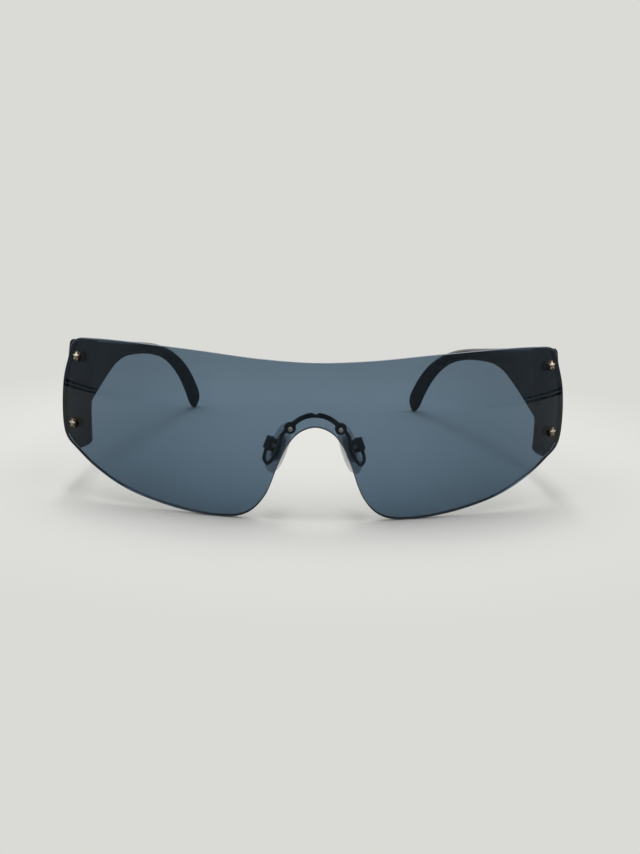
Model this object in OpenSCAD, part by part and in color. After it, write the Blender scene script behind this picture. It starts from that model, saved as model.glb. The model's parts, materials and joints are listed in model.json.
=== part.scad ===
// Shield sunglasses: one wrapped lens, screwed to two folding temples and a sprung nose piece.
// Millimetres. +X is the wearer's left, +Y runs back to the ears, +Z is up, and the table is Z = 0.
// The glasses stand open on the two lobes of the lens and on the two temple tips.

/* [Lens] */
// Width of the one-piece lens, edge to edge
lens_w = 142; // [134:1:150]
// Height of the lens, from its two lobes to the top of its brow
lens_h = 46.3; // [44:0.1:49]
// Thickness of the lens
lens_t = 2; // [1.6:0.1:2.4]
// Radius of the lens's front sphere
lens_r = 92; // [88:1:100]
// Height of the middle of that sphere above the table
lens_centre_z = 26; // [24:0.5:28]

/* [Endpieces] */
// Width of the plate behind the lens at its top, seen from the front
plate_top_w = 10; // [8.5:0.1:12]
// Width of the plate near its bottom
plate_low_w = 8.4; // [7.5:0.1:10]
// Height of the plate's lower inner corner
plate_corner_z = 16; // [14:0.5:18]
// Thickness of the plate
plate_t = 1.8; // [1.6:0.1:2.4]
// Strip of bare lens that is left round the plate
plate_inset = 0.35; // [0.1:0.05:1]
// Rounding of the plate's inner corners
plate_corner_r = 1.6; // [0.5:0.1:2]
// Length of the wall that runs back from the lens's rear edge to the hinge
wall_l = 5.9; // [5.5:0.1:9]
// How far the wall stands out past the side edge of the plate
wall_overhang = 0.2; // [0:0.05:0.8]

/* [Temples] */
// Length of a temple along its top edge, from the hinge to the tip
temple_l = 145; // [138:1:150]
// Height of a temple at the hinge
temple_h = 26.4; // [24:0.1:28]
// Drop of its top edge, at the hinge, below the top of the lens
temple_drop = 3.3; // [2:0.1:4.5]
// Thickness at the hinge
temple_t = 3; // [2.6:0.1:3.6]
// Thickness at the tip
tip_t = 2.9; // [2:0.1:3.4]
// Height of its slender middle
ear_h = 3.5; // [3:0.1:5]
// Height of its tip
tip_h = 5.8; // [4:0.1:6.5]
// Distance along the top edge at which it starts to bend down
ear_start = 75; // [65:1:90]
// Angle by which it bends down
ear_bend = 49; // [40:1:58]
// Angle by which it leans in at the hinge
temple_toe = 7.4; // [4:0.2:9]
// Radius of its bow, seen from above
temple_bow_r = 646; // [500:10:900]
// Radius of the crown of its tall front
crown_r = 90; // [65:5:130]
// Rounding of its long edges
temple_edge_r = 1.1; // [0.6:0.1:1.3]

/* [Hinges] */
// Height of the row of knuckles
hinge_h = 10; // [8:0.5:12]
// Drop of the middle of that row below the top edge of the temple
hinge_drop = 14.5; // [12:0.5:16]
// Number of knuckles, two of them on the temple when there are five
knuckles = 5; // [3:2:7]
// Radius of a knuckle
knuckle_r = 1.3; // [1.1:0.1:1.5]
// Radius of the hinge screw
hinge_screw_r = 0.65; // [0.5:0.05:0.75]
// Length of a hinge leaf
leaf_l = 5; // [4:0.1:5.5]
// Thickness of a hinge leaf
leaf_t = 0.8; // [0.6:0.1:1]

/* [Star screws] */
// Distance from the side edge of the lens in to the upper screw
upper_screw_in = 4.6; // [3.8:0.1:6]
// Drop of the upper screw below the top of the lens
upper_screw_drop = 6.3; // [5.5:0.1:9]
// Distance from the side edge of the lens in to the lower screw
lower_screw_in = 3.7; // [3.2:0.1:5]
// Distance from the upper screw down to the lower one
screw_pitch = 18.9; // [15:0.1:20]
// Radius of the round seat under the star
seat_r = 1.5; // [1.3:0.05:1.8]
// Radius of the star's points
star_r = 1.4; // [1.2:0.05:1.6]
// Radius of the screw
star_screw_r = 0.6; // [0.4:0.05:0.7]

/* [Nose bridge] */
// Distance from the middle to the eyelets
eyelet_x = 6.8; // [6:0.1:7.5]
// Drop of the eyelets below the top of the nose notch
eyelet_drop = 0.5; // [0:0.1:1]
// Radius of an eyelet
eyelet_r = 1.6; // [1.3:0.05:1.8]
// Rise of the arch above the eyelets, to the middle of its bar
arch_rise = 3.55; // [3:0.05:5]
// Height of the bar of the arch
arch_w = 1.3; // [0.9:0.1:1.5]
// Thickness of the bridge plate
bridge_t = 1; // [0.8:0.1:1.2]
// Radius of the bridge screws
bridge_screw_r = 0.5; // [0.4:0.05:0.55]

/* [Nose pads] */
// Length of a pad
pad_l = 14.4; // [13:0.1:15]
// Width of a pad
pad_w = 8.2; // [7:0.1:8.5]
// Thickness of a pad
pad_t = 2.8; // [2.4:0.1:3.2]
// Distance from the middle to the middle of a pad
pad_x = 9.7; // [9.4:0.1:11.5]
// Distance from the front of the lens back to the middle of a pad
pad_y = 12.6; // [12:0.1:14]
// Drop of the middle of a pad below the eyelets
pad_drop = 7.4; // [6.5:0.1:8]
// Angle at which the pads open towards the face
pad_splay = 30; // [20:1:35]
// Angle at which the pads spread downwards
pad_flare = 20; // [12:1:22]
// Radius of the arm's wire
wire_r = 0.5; // [0.4:0.01:0.55]

/* [Hidden] */
$fn = 48;

// Clearances
seat_gap = 0.02;
butt_gap = 0.1;
slit_gap = 0.1;
knuckle_gap = 0.15;
running_gap = 0.05;
sleeve_gap = 0.03;
screw_gap = 0.05;
mould_gap = 0.02;
box_gap = 0.1;
// How far a cut runs past a face
overrun = 1;

// Outline of one half of the lens, from the top of the brow to the top of the nose notch,
// as shares of half the width and of the height
lens_outline_shares = [
    [0, 0.952], [0.2, 0.963], [0.465, 0.991], [0.72, 1], [0.873, 0.988], [0.938, 0.971], [0.96, 0.94],
    [0.976, 0.855], [0.994, 0.735], [1, 0.6], [0.997, 0.46], [0.988, 0.385], [0.972, 0.34], [0.935, 0.292],
    [0.868, 0.212], [0.75, 0.113], [0.62, 0.052], [0.47, 0.01], [0.366, 0], [0.29, 0.012], [0.238, 0.054],
    [0.186, 0.155], [0.139, 0.348], [0.103, 0.468], [0.06, 0.543], [0, 0.5745]];
lens_steps = 4;
sphere_sides = 96;

// How a temple narrows behind the hinge: share of its length, then share of the way from ear_h to temple_h
front_height_shares = [[-0.09, 1.03], [0, 1], [0.06, 0.904], [0.13, 0.72], [0.22, 0.469], [0.315, 0.213],
    [0.36, 0.125], [0.42, 0.054], [0.52, 0.012], [0.64, 0], [1, 0]];
tip_start_share = 0.68;
crown_fade_share = 0.42;
temple_stations = 40;
tip_stations = 5;
tip_blunt_share = 0.3;
front_stations = 7;
corner_steps = 3;

// Foot of the plate: shares of its low width, and the slope of the rim beyond
plate_foot_share = 0.32;
plate_drop_share = 0.32;
plate_rim_slope = 0.62;

// Hardware
hinge_head_r = 1.05;
hinge_head_h = 0.45;
slot_w = 0.25;
star_seat_h = 0.55;
star_h = 0.5;
star_points = 5;
star_inner_share = 0.52;
sleeve_wall = 0.32;
nut_r = 1.45;
nut_h = 1.1;
nut_sides = 6;
spot_depth = 0.25;
screw_end = 0.25;
bridge_head_r = 0.63;
bridge_head_h = 0.35;
washer_t = 0.25;
bridge_nut_r = 1.15;
bridge_nut_h = 0.9;
notch_w = 1.3;
notch_depth = 0.4;

// Pads, boxes and arms
box_l = 3.6;
box_wall = 0.5;
box_w = 2.5;
lug_r = 0.8;
pad_screw_r = 0.35;
pad_head_r = 0.62;
pad_head_h = 0.4;
// Distance from the middle of the pad out to its screw
screw_reach = 2.75;
// Distance from the middle of the pad up to its screw
screw_lift = 0.6;
core_l = 7.5;
core_w = 4;
core_t = 0.8;
// Pad outline: how much narrower its top is than its bottom
pad_taper_share = 0.22;
pad_square_share = 2.5;
pad_crown_share = 2.4;
pad_rings = 6;
pad_end_level = 84;
pad_ring_points = 24;
wire_sides = 10;
wire_steps = 4;
arm_start_angle = 55;
// Where the arm passes on its way, as shares of the way from the eyelet to the pad's screw
arm_shares = [[0.45, 0.05, 0.38], [0.53, 0.2, 0.79], [0.65, 0.35, 1.18], [0.96, 0.55, 1.63],
    [1.2, 0.73, 1.84], [1.38, 0.88, 1.64]];

// Smooth curves

function centripetal(a, b) = sqrt(norm(b - a));

// Point at share t of the stretch from b to c of a curve through a, b, c and d
function spline_point(a, b, c, d, t) =
    let(tb = centripetal(a, b), tc = tb + centripetal(b, c), td = tc + centripetal(c, d),
        x = tb + t * (tc - tb),
        ab = a + (b - a) * x / tb,
        bc = b + (c - b) * (x - tb) / (tc - tb),
        cd = c + (d - c) * (x - tc) / (td - tc),
        abc = ab + (bc - ab) * x / tc,
        bcd = bc + (cd - bc) * (x - tb) / (td - tb))
    abc + (bcd - abc) * (x - tb) / (tc - tb);

// Curve through the points, which start and end at guide points that it doesn't reach
function spline(points, steps) = [
    for (i = [1 : len(points) - 3], j = [0 : steps - 1])
        spline_point(points[i - 1], points[i], points[i + 1], points[i + 2], j / steps),
    points[len(points) - 2]];

function flipped(p) = [-p[0], p[1]];

// Value at x of a table of pairs, with rounded joints between its stretches
function table_slope(table, i) =
    let(a = max(i - 1, 0), b = min(i + 1, len(table) - 1))
    (table[b][1] - table[a][1]) / (table[b][0] - table[a][0]);
function table_row(table, x, i = 0) =
    i >= len(table) - 2 || x < table[i + 1][0] ? i : table_row(table, x, i + 1);
function smooth(table, x) =
    let(i = table_row(table, x), a = table[i], b = table[i + 1], w = b[0] - a[0], t = (x - a[0]) / w)
    (1 + 2 * t) * pow(1 - t, 2) * a[1] + t * pow(1 - t, 2) * w * table_slope(table, i)
    + t * t * (3 - 2 * t) * b[1] + t * t * (t - 1) * w * table_slope(table, i + 1);
function ease(t) = let(u = min(max(t, 0), 1)) u * u * (3 - 2 * u);

// Rounded corner at b, on the way from a to c
function fillet(a, b, c, r) =
    let(u = (a - b) / norm(a - b), v = (c - b) / norm(c - b), half = acos(u * v) / 2,
        middle = b + (u + v) / norm(u + v) * r / sin(half),
        from = b + u * r / tan(half) - middle, to = b + v * r / tan(half) - middle)
    [for (i = [0 : corner_steps]) middle
        + (from * sin((1 - i / corner_steps) * (180 - 2 * half))
        + to * sin(i / corner_steps * (180 - 2 * half))) / sin(180 - 2 * half)];

// Skin through closed rings of equal counts of points, which run clockwise seen from the first ring
module skin(rings) {
    n = len(rings[0]);
    m = len(rings);
    points = [for (ring = rings) each ring];
    first = [for (i = [1 : n - 2]) [0, i, i + 1]];
    last = [for (i = [1 : n - 2]) [(m - 1) * n, (m - 1) * n + i + 1, (m - 1) * n + i]];
    sides = [for (j = [0 : m - 2], i = [0 : n - 1])
        let(k = (i + 1) % n, a = j * n + i, b = j * n + k, c = a + n, d = b + n)
        each [[a, c, b], [b, c, d]]];
    polyhedron(points, concat(first, sides, last));
}

// Lens: a piece of a spherical shell, cut square to its surface

lens_half_w = lens_w / 2;
lens_back_r = lens_r - lens_t;
lens_half_outline =
    let(p = [for (s = lens_outline_shares) [s[0] * lens_half_w, s[1] * lens_h]], n = len(p))
    spline(concat([flipped(p[1])], p, [flipped(p[n - 2])]), lens_steps);
lens_outline = concat(lens_half_outline,
    [for (i = [len(lens_half_outline) - 2 : -1 : 1]) flipped(lens_half_outline[i])]);

// Depth of a sphere about the middle of the lens's front sphere, at a place seen from the front
function sphere_y(x, z, r) = lens_r - sqrt(r * r - x * x - pow(z - lens_centre_z, 2));
// Where the ray from the sphere's middle to a point seen on its surface meets the plane at distance 1;
// a point beyond the sphere's edge goes out on a flat ray
function ray_share(p, r) =
    let(z = p[1] - lens_centre_z)
    [p[0], z] / sqrt(max(r * r - p[0] * p[0] - z * z, overrun * overrun));

module at_sphere_middle() translate([0, lens_r, lens_centre_z]) children();

// Distance from the sphere's middle forward to the side edges of the plates' backs
rim_depth = sqrt(pow(lens_back_r - plate_t, 2) - lens_half_w * lens_half_w);
cone_near_share = 0.7;
cone_far_share = 1.1;

// Everything behind an outline that is seen on a sphere, between rays to the sphere's middle
module ray_prism(outline, r) {
    near = rim_depth * cone_near_share;
    far = lens_r * cone_far_share;
    at_sphere_middle() rotate([90, 0, 0]) translate([0, 0, near])
        linear_extrude(height = far - near, scale = far / near)
            polygon([for (p = outline) ray_share(p, r) * near]);
}

module shell(outer, inner) at_sphere_middle() difference() {
    sphere(r = outer, $fn = sphere_sides);
    sphere(r = inner, $fn = sphere_sides);
}

// Stands its children on the lens's front, with +Z out along the surface's normal
module on_lens(x, z) {
    y = sphere_y(x, z, lens_r) - lens_r;
    at_sphere_middle() rotate([0, 0, atan2(y, x)]) rotate([0, acos((z - lens_centre_z) / lens_r), 0])
        translate([0, 0, lens_r]) children();
}

upper_screw_z = lens_h - upper_screw_drop;
star_places = [[lens_half_w - upper_screw_in, upper_screw_z],
    [lens_half_w - lower_screw_in, upper_screw_z - screw_pitch]];
module at_star_screws() for (side = [-1, 1], place = star_places)
    on_lens(side * place[0], place[1]) children();

module at_eyelets(y) for (side = [-1, 1])
    translate([side * eyelet_x, y, eyelet_z]) rotate([90, 0, 0]) children();

sleeve_r = star_screw_r + sleeve_gap + sleeve_wall;
notch_z = lens_outline_shares[len(lens_outline_shares) - 1][1] * lens_h;
eyelet_z = notch_z - eyelet_drop;
// Flat seats at the eyelets: the screws' on the lens's front, and the washers' on its back
screw_seat_y = sphere_y(eyelet_x - bridge_head_r, eyelet_z, lens_r) - seat_gap;
washer_seat_y = sphere_y(eyelet_x + eyelet_r, eyelet_z, lens_back_r) + seat_gap;

module shield_lens() color([0.25, 0.31, 0.38, 0.7]) centred() difference() {
    intersection() {
        shell(lens_r, lens_back_r);
        ray_prism(lens_outline, lens_r);
    }
    at_star_screws() translate([0, 0, -lens_t - overrun])
        cylinder(r = sleeve_r + sleeve_gap, h = lens_t + 2 * overrun);
    at_eyelets(washer_seat_y + overrun)
        cylinder(r = bridge_screw_r + screw_gap, h = lens_t + 2 * overrun);
}

// Temples and the walls they butt against, in the frame of the hinge:
// +X out through the wall, +Y back along the temple

wall_start_x = lens_half_w - plate_inset + wall_overhang;
wall_start_y = max([for (p = lens_outline) sphere_y(p[0], p[1], lens_back_r)]);
hinge_x = wall_start_x - wall_l * sin(temple_toe) - temple_t * cos(temple_toe);
hinge_y = wall_start_y + wall_l * cos(temple_toe) - temple_t * sin(temple_toe);
hinge_z = lens_h - temple_drop - hinge_drop;
pin_x = -knuckle_r - knuckle_gap;
temple_top_z = lens_h - temple_drop;
// How far the walls' skin reaches to each side of the butt joint, so that it gets through the curved lens
rim_slope = wall_start_x / sqrt(lens_back_r * lens_back_r - wall_start_x * wall_start_x);
front_reach = wall_l + 2 * temple_t * rim_slope;

function temple_height(u) = ear_h
    + (temple_h - ear_h) * smooth(front_height_shares, max(u / temple_l, front_height_shares[0][0]))
    + (tip_h - ear_h) * ease((u / temple_l - tip_start_share) / (1 - tip_start_share));
function temple_thickness(u) = temple_t + (tip_t - temple_t) * ease(u / temple_l);
function ear_turn(u) = ear_bend * pow(max(u - ear_start, 0) / (temple_l - ear_start), 2);

// The top edge before it is tipped to the table, by small steps along the temple
path_step = temple_l / temple_stations;
top_edge_path = [for (i = 0, p = [0, 0]; i <= temple_stations;
    a = ear_turn((i + 0.5) * path_step), p = p + path_step * [cos(a), -sin(a)], i = i + 1) p];
function top_edge(u) = u <= 0 ? [u, 0]
    : let(i = min(floor(u / path_step), temple_stations - 1))
    top_edge_path[i] + (top_edge_path[i + 1] - top_edge_path[i]) * (u / path_step - i);

// The temples slope down so that their tips reach the table
cap_l = tip_h / 2;
tip_middle = top_edge(temple_l - cap_l) - tip_h / 2 * [sin(ear_turn(temple_l)), cos(ear_turn(temple_l))];
temple_slope = asin((temple_top_z - cap_l) / norm(tip_middle)) - atan2(-tip_middle[1], tip_middle[0]);

function tipped(p) = [cos(temple_slope) * p[0] + sin(temple_slope) * p[1],
    temple_top_z + cos(temple_slope) * p[1] - sin(temple_slope) * p[0]];
function bow(s) = s < 0 ? 0 : temple_bow_r - sqrt(temple_bow_r * temple_bow_r - s * s);
function crown(s, z) =
    pow(z - lens_centre_z, 2) / (2 * crown_r) * (1 - ease(s / (temple_l * crown_fade_share)));

// One ring of the temple's skin at distance u along its top edge, shrunk by share k at the tip
function temple_ring(u, k) =
    let(h = temple_height(u), t = temple_thickness(u), r = min(temple_edge_r, h / 2, t / 2), a = ear_turn(u),
        middle = top_edge(u) - h / 2 * [sin(a), cos(a)])
    [for (quarter = [0 : 3], i = [0 : corner_steps])
        let(angle = 90 * quarter + 90 * i / corner_steps,
            up = k * ((quarter == 0 || quarter == 3 ? 1 : -1) * (h / 2 - r) + r * cos(angle)),
            out = k * ((quarter < 2 ? 1 : -1) * (t / 2 - r) + r * sin(angle)),
            p = tipped(middle + up * [sin(a), cos(a)]))
        [out + t / 2 - bow(p[0]) - crown(p[0], p[1]), p[0], p[1]]];

temple_rings = concat(
    [for (i = [-2 : temple_stations - 1]) temple_ring(i / temple_stations * (temple_l - cap_l), 1)],
    [for (i = [0 : tip_stations]) let(a = 90 * i / (tip_stations + tip_blunt_share))
        temple_ring(temple_l - cap_l + cap_l * sin(a), cos(a))]);
table_lift = -min([for (ring = temple_rings) min([for (p = ring) p[2]])]);
wall_rings = [for (i = [0 : front_stations]) temple_ring(front_reach * (2 * i / front_stations - 1), 1)];

// Stands the middle of the glasses over the origin; every sub-part passes through here
front_y = screw_seat_y - bridge_head_h;
rear_y = hinge_y + max([for (ring = temple_rings)
    max([for (p = ring) cos(temple_toe) * p[1] + sin(temple_toe) * p[0]])]);
module centred() translate([0, -(front_y + rear_y) / 2, 0]) children();

// Children are for the wearer's left, and are mirrored for the right
module on_side(side) {
    if (side > 0) children();
    else mirror([1, 0, 0]) children();
}

module hinge_frame() translate([hinge_x, hinge_y, 0]) rotate([0, 0, temple_toe]) children();

// All that lies behind the butt joint, or in front of it
module half_space(behind) {
    reach = 2 * temple_l;
    translate([-reach, behind ? butt_gap / 2 : -reach - butt_gap / 2, -reach])
        cube([2 * reach, reach, 2 * reach]);
}

// Lifts its children to the middle of the row of knuckles
module at_hinge() translate([0, 0, hinge_z]) children();

// Room for one half of the hinge in a wall: a flat pocket for the leaf,
// and a round one for the knuckles and for the screw's head
module hinge_pocket(direction) at_hinge() {
    length = leaf_l + seat_gap + butt_gap;
    height = hinge_h + 2 * seat_gap;
    translate([-overrun, direction > 0 ? -butt_gap : -length, -height / 2])
        cube([leaf_t + seat_gap + overrun, length + butt_gap, height]);
    translate([pin_x, 0, -height / 2 - knuckle_gap])
        cylinder(r = knuckle_r + knuckle_gap, h = height + hinge_head_h + 2 * knuckle_gap);
}

// Walls of the endpieces and temples share one skin, so they are flush at the butt joint
module temple(side) color([0.05, 0.05, 0.06]) centred() on_side(side) hinge_frame() difference() {
    intersection() {
        translate([0, 0, table_lift]) skin(temple_rings);
        half_space(true);
    }
    hinge_pocket(1);
}

// Endpieces: a plate behind the lens and a wall that runs back to the hinge

plate_top_x = lens_half_w - plate_top_w;
plate_low_x = lens_half_w - plate_low_w;
plate_foot = [plate_low_x + plate_low_w * plate_foot_share,
    plate_corner_z - plate_low_w * plate_drop_share];
plate_outline = let(
        top = [plate_top_x, lens_h + overrun],
        corner = [plate_low_x, plate_corner_z],
        rim_x = lens_half_w + overrun,
        rim = [rim_x, plate_foot[1] + (rim_x - plate_foot[0]) * plate_rim_slope])
    concat([top], fillet(top, corner, plate_foot, plate_corner_r),
        fillet(corner, plate_foot, rim, plate_corner_r), [rim, [rim_x, lens_h + overrun]]);
// The lens's outline, drawn in by the bare strip
inset_outline = [for (p = lens_outline)
    [p[0] * (1 - plate_inset / lens_half_w),
    lens_centre_z + (p[1] - lens_centre_z) * (1 - 2 * plate_inset / lens_h)]];
plate_back_z = -lens_t - plate_t + spot_depth;

module endpiece(side) color([0.04, 0.04, 0.05]) centred() difference() {
    on_side(side) difference() {
        union() {
            intersection() {
                shell(lens_back_r - seat_gap, lens_back_r - plate_t);
                ray_prism(inset_outline, lens_r);
                ray_prism(plate_outline, lens_back_r);
                hinge_frame() half_space(false);
            }
            intersection() {
                hinge_frame() intersection() {
                    translate([0, 0, table_lift]) skin(wall_rings);
                    half_space(false);
                }
                at_sphere_middle() sphere(r = lens_back_r - seat_gap, $fn = sphere_sides);
            }
        }
        hinge_frame() hinge_pocket(-1);
    }
    at_star_screws() {
        translate([0, 0, -lens_t - plate_t - overrun])
            cylinder(r = star_screw_r + screw_gap, h = plate_t + 2 * overrun);
        translate([0, 0, plate_back_z - nut_h - overrun])
            cylinder(r = nut_r + sleeve_gap, h = nut_h + overrun);
    }
}

// Hinges

knuckle_h = (hinge_h - (knuckles - 1) * slit_gap) / knuckles;

// The knuckles from the first one on, every second one, with their leaf: direction 1 is the temple's
module leaf(direction, first) at_hinge() difference() {
    union() {
        translate([0, direction > 0 ? butt_gap / 2 : -butt_gap / 2 - leaf_l, -hinge_h / 2])
            cube([leaf_t, leaf_l, hinge_h]);
        for (i = [first : 2 : knuckles - 1]) translate([0, 0, -hinge_h / 2 + i * (knuckle_h + slit_gap)]) {
            translate([pin_x, 0, 0]) cylinder(r = knuckle_r, h = knuckle_h);
            translate([pin_x, direction > 0 ? butt_gap / 2 : -knuckle_r, 0])
                cube([leaf_t / 2 - pin_x, knuckle_r - butt_gap / 2, knuckle_h]);
        }
    }
    translate([pin_x, 0, -hinge_h / 2 - overrun])
        cylinder(r = hinge_screw_r + running_gap, h = hinge_h + 2 * overrun);
}

module front_leaf(side) color([0.6, 0.6, 0.62]) centred() on_side(side) hinge_frame() leaf(-1, 0);
module temple_leaf(side) color([0.6, 0.6, 0.62]) centred() on_side(side) hinge_frame() leaf(1, 1);

module hinge_screw(side) color([0.7, 0.7, 0.72]) centred() on_side(side) hinge_frame() at_hinge()
    translate([pin_x, 0, 0]) difference() {
        union() {
            translate([0, 0, -hinge_h / 2]) cylinder(r = hinge_screw_r, h = hinge_h + seat_gap);
            translate([0, 0, hinge_h / 2 + seat_gap]) cylinder(r = hinge_head_r, h = hinge_head_h);
        }
        translate([-hinge_head_r - overrun, -slot_w / 2, hinge_h / 2 + seat_gap + hinge_head_h / 2])
            cube([2 * (hinge_head_r + overrun), slot_w, hinge_head_h]);
    }

// Star screws, with the clear sleeves that line the lens's holes, and their nuts

module star(r, inner_r, points, h) linear_extrude(height = h)
    polygon([for (i = [0 : 2 * points - 1]) let(a = 180 + 180 * i / points, q = i % 2 == 0 ? r : inner_r)
        q * [cos(a), sin(a)]]);

module star_screws() color([0.85, 0.8, 0.68]) centred() at_star_screws() {
    translate([0, 0, seat_gap]) cylinder(r = seat_r, h = star_seat_h);
    translate([0, 0, seat_gap + star_seat_h]) star(star_r, star_r * star_inner_share, star_points, star_h);
    translate([0, 0, plate_back_z - nut_h - screw_end])
        cylinder(r = star_screw_r, h = nut_h + screw_end - plate_back_z + seat_gap);
}

module star_sleeves() color([0.85, 0.88, 0.9, 0.6]) centred() at_star_screws() difference() {
    translate([0, 0, -lens_t]) cylinder(r = sleeve_r, h = lens_t);
    translate([0, 0, -lens_t - overrun]) cylinder(r = star_screw_r + sleeve_gap, h = lens_t + 2 * overrun);
}

module star_nuts() color([0.75, 0.72, 0.62]) centred() at_star_screws()
    translate([0, 0, plate_back_z - nut_h]) difference() {
        cylinder(r = nut_r, h = nut_h, $fn = nut_sides);
        translate([0, 0, -overrun]) cylinder(r = star_screw_r + sleeve_gap, h = nut_h + 2 * overrun);
    }

// Nose bridge: a flat arch with an eyelet at each end, screwed to the lens

bridge_y = washer_seat_y + washer_t;
bridge_back_y = bridge_y + bridge_t;
arch_r = (eyelet_x * eyelet_x + arch_rise * arch_rise) / (2 * arch_rise);
arch_z = eyelet_z + arch_rise - arch_r;

module nose_bridge() color([0.08, 0.08, 0.09]) centred() difference() {
    translate([0, bridge_back_y, 0]) rotate([90, 0, 0]) linear_extrude(height = bridge_t) {
        difference() {
            translate([0, arch_z]) circle(r = arch_r + arch_w / 2);
            translate([0, arch_z]) circle(r = arch_r - arch_w / 2);
            translate([-2 * eyelet_x, eyelet_z - 4 * arch_r]) square([4 * eyelet_x, 4 * arch_r]);
            translate([-notch_w / 2, arch_z + arch_r + arch_w / 2 - notch_depth]) square([notch_w, arch_w]);
        }
        for (side = [-1, 1]) translate([side * eyelet_x, eyelet_z]) circle(r = eyelet_r);
    }
    at_eyelets(bridge_back_y + overrun)
        cylinder(r = bridge_screw_r + screw_gap, h = bridge_t + 2 * overrun);
}

module bridge_screws() color([0.8, 0.8, 0.8]) centred() {
    at_eyelets(screw_seat_y) cylinder(r = bridge_head_r, h = bridge_head_h);
    at_eyelets(bridge_back_y + bridge_nut_h + screw_end)
        cylinder(r = bridge_screw_r, h = bridge_nut_h + screw_end + bridge_back_y - screw_seat_y);
}

module bridge_washers() color([0.85, 0.88, 0.9, 0.6]) centred() at_eyelets(bridge_y) difference() {
    cylinder(r = eyelet_r, h = washer_t);
    translate([0, 0, -overrun]) cylinder(r = bridge_screw_r + screw_gap, h = washer_t + 2 * overrun);
}

module bridge_nuts() color([0.3, 0.3, 0.32]) centred() at_eyelets(bridge_back_y + bridge_nut_h)
    difference() {
        cylinder(r = bridge_nut_r, h = bridge_nut_h);
        translate([0, 0, -overrun])
            cylinder(r = bridge_screw_r + sleeve_gap, h = bridge_nut_h + 2 * overrun);
    }

// Nose pads, in their own frame: +X out from the nose, +Y back along the width, +Z up the length

pad_z = eyelet_z - pad_drop;
module pad_frame(side) on_side(side) translate([pad_x, pad_y, pad_z])
    rotate([0, -pad_flare, 0]) rotate([0, 0, -pad_splay]) children();

function turned_z(p, a) = [cos(a) * p[0] - sin(a) * p[1], sin(a) * p[0] + cos(a) * p[1], p[2]];
function turned_y(p, a) = [cos(a) * p[0] + sin(a) * p[2], p[1], cos(a) * p[2] - sin(a) * p[0]];
function from_pad(p) = [pad_x, pad_y, pad_z] + turned_y(turned_z(p, -pad_splay), -pad_flare);

function power(x, n) = sign(x) * pow(abs(x), 2 / n);

pad_levels = [for (i = [0 : pad_rings]) pad_end_level * (2 * i / pad_rings - 1)];
pad_skin = [for (level = pad_levels)
    let(k = power(cos(level), pad_crown_share), x = pad_t / 2 * power(sin(level), pad_crown_share))
    [for (i = [0 : pad_ring_points - 1])
        let(a = -360 * i / pad_ring_points, up = power(sin(a), pad_square_share),
            across = power(cos(a), pad_square_share) * (1 - pad_taper_share * (1 + up) / 2))
        [x, k * pad_w / 2 * across, k * pad_l / 2 * up]]];

lug_t = box_w - 2 * box_wall - 2 * box_gap;

// The hard core of a pad, with the lug that its screw goes through, grown all round by a gap
module core_body(gap) {
    translate([-core_t / 2 - gap, -core_w / 2 - gap, -core_l / 2 + core_w / 2])
        cube([core_t + 2 * gap, core_w + 2 * gap, core_l - core_w]);
    for (end = [-1, 1]) translate([-core_t / 2 - gap, 0, end * (core_l - core_w) / 2]) rotate([0, 90, 0])
        cylinder(r = core_w / 2 + gap, h = core_t + 2 * gap);
    translate([0, -lug_t / 2 - gap, screw_lift - lug_r - gap])
        cube([screw_reach, lug_t + 2 * gap, 2 * (lug_r + gap)]);
}

module along_pad_screw(start) translate([screw_reach, start, screw_lift]) rotate([-90, 0, 0]) children();

module nose_pad(side) color([0.9, 0.92, 0.93, 0.5]) centred() pad_frame(side) difference() {
    skin(pad_skin);
    core_body(mould_gap);
}

module pad_core(side) color([0.12, 0.12, 0.13]) centred() pad_frame(side) difference() {
    union() {
        core_body(0);
        along_pad_screw(-lug_t / 2) cylinder(r = lug_r, h = lug_t);
    }
    along_pad_screw(-lug_t / 2 - overrun) cylinder(r = pad_screw_r + running_gap, h = lug_t + 2 * overrun);
}

module pad_box(side) color([0.08, 0.08, 0.09]) centred() pad_frame(side) difference() {
    translate([screw_reach - lug_r - box_gap, -box_w / 2, screw_lift - box_l / 2])
        cube([2 * (lug_r + box_gap) + box_wall, box_w, box_l]);
    translate([screw_reach - lug_r - box_gap - overrun, box_wall - box_w / 2,
        screw_lift - box_l / 2 - overrun])
        cube([2 * (lug_r + box_gap) + overrun, box_w - 2 * box_wall, box_l + 2 * overrun]);
    along_pad_screw(-box_w / 2 - overrun) cylinder(r = pad_screw_r + sleeve_gap, h = box_w + 2 * overrun);
}

module pad_screw(side) color([0.75, 0.75, 0.77]) centred() pad_frame(side) {
    along_pad_screw(-box_w / 2 - seat_gap) cylinder(r = pad_screw_r, h = box_w + seat_gap);
    along_pad_screw(-box_w / 2 - seat_gap - pad_head_h) cylinder(r = pad_head_r, h = pad_head_h);
}

// Pad arms: a wire that drops from the eyelet, loops, and rises into the foot of the box

eyelet_middle = [eyelet_x, bridge_y + bridge_t / 2, eyelet_z];
box_screw = from_pad([screw_reach, 0, screw_lift]);
wire_out = screw_reach + lug_r + box_gap + box_wall - wire_r;
arm_start_direction = [sin(arm_start_angle), 0, -cos(arm_start_angle)];
arm_guides = concat(
    [eyelet_middle, eyelet_middle + (eyelet_r + seat_gap) * arm_start_direction],
    [for (s = arm_shares) [for (k = [0 : 2]) (1 - s[k]) * eyelet_middle[k] + s[k] * box_screw[k]]],
    [for (rise = [-box_l / 2 - seat_gap, 0]) from_pad([wire_out, 0, screw_lift + rise])]);
arm_path = spline(arm_guides, wire_steps);

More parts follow.
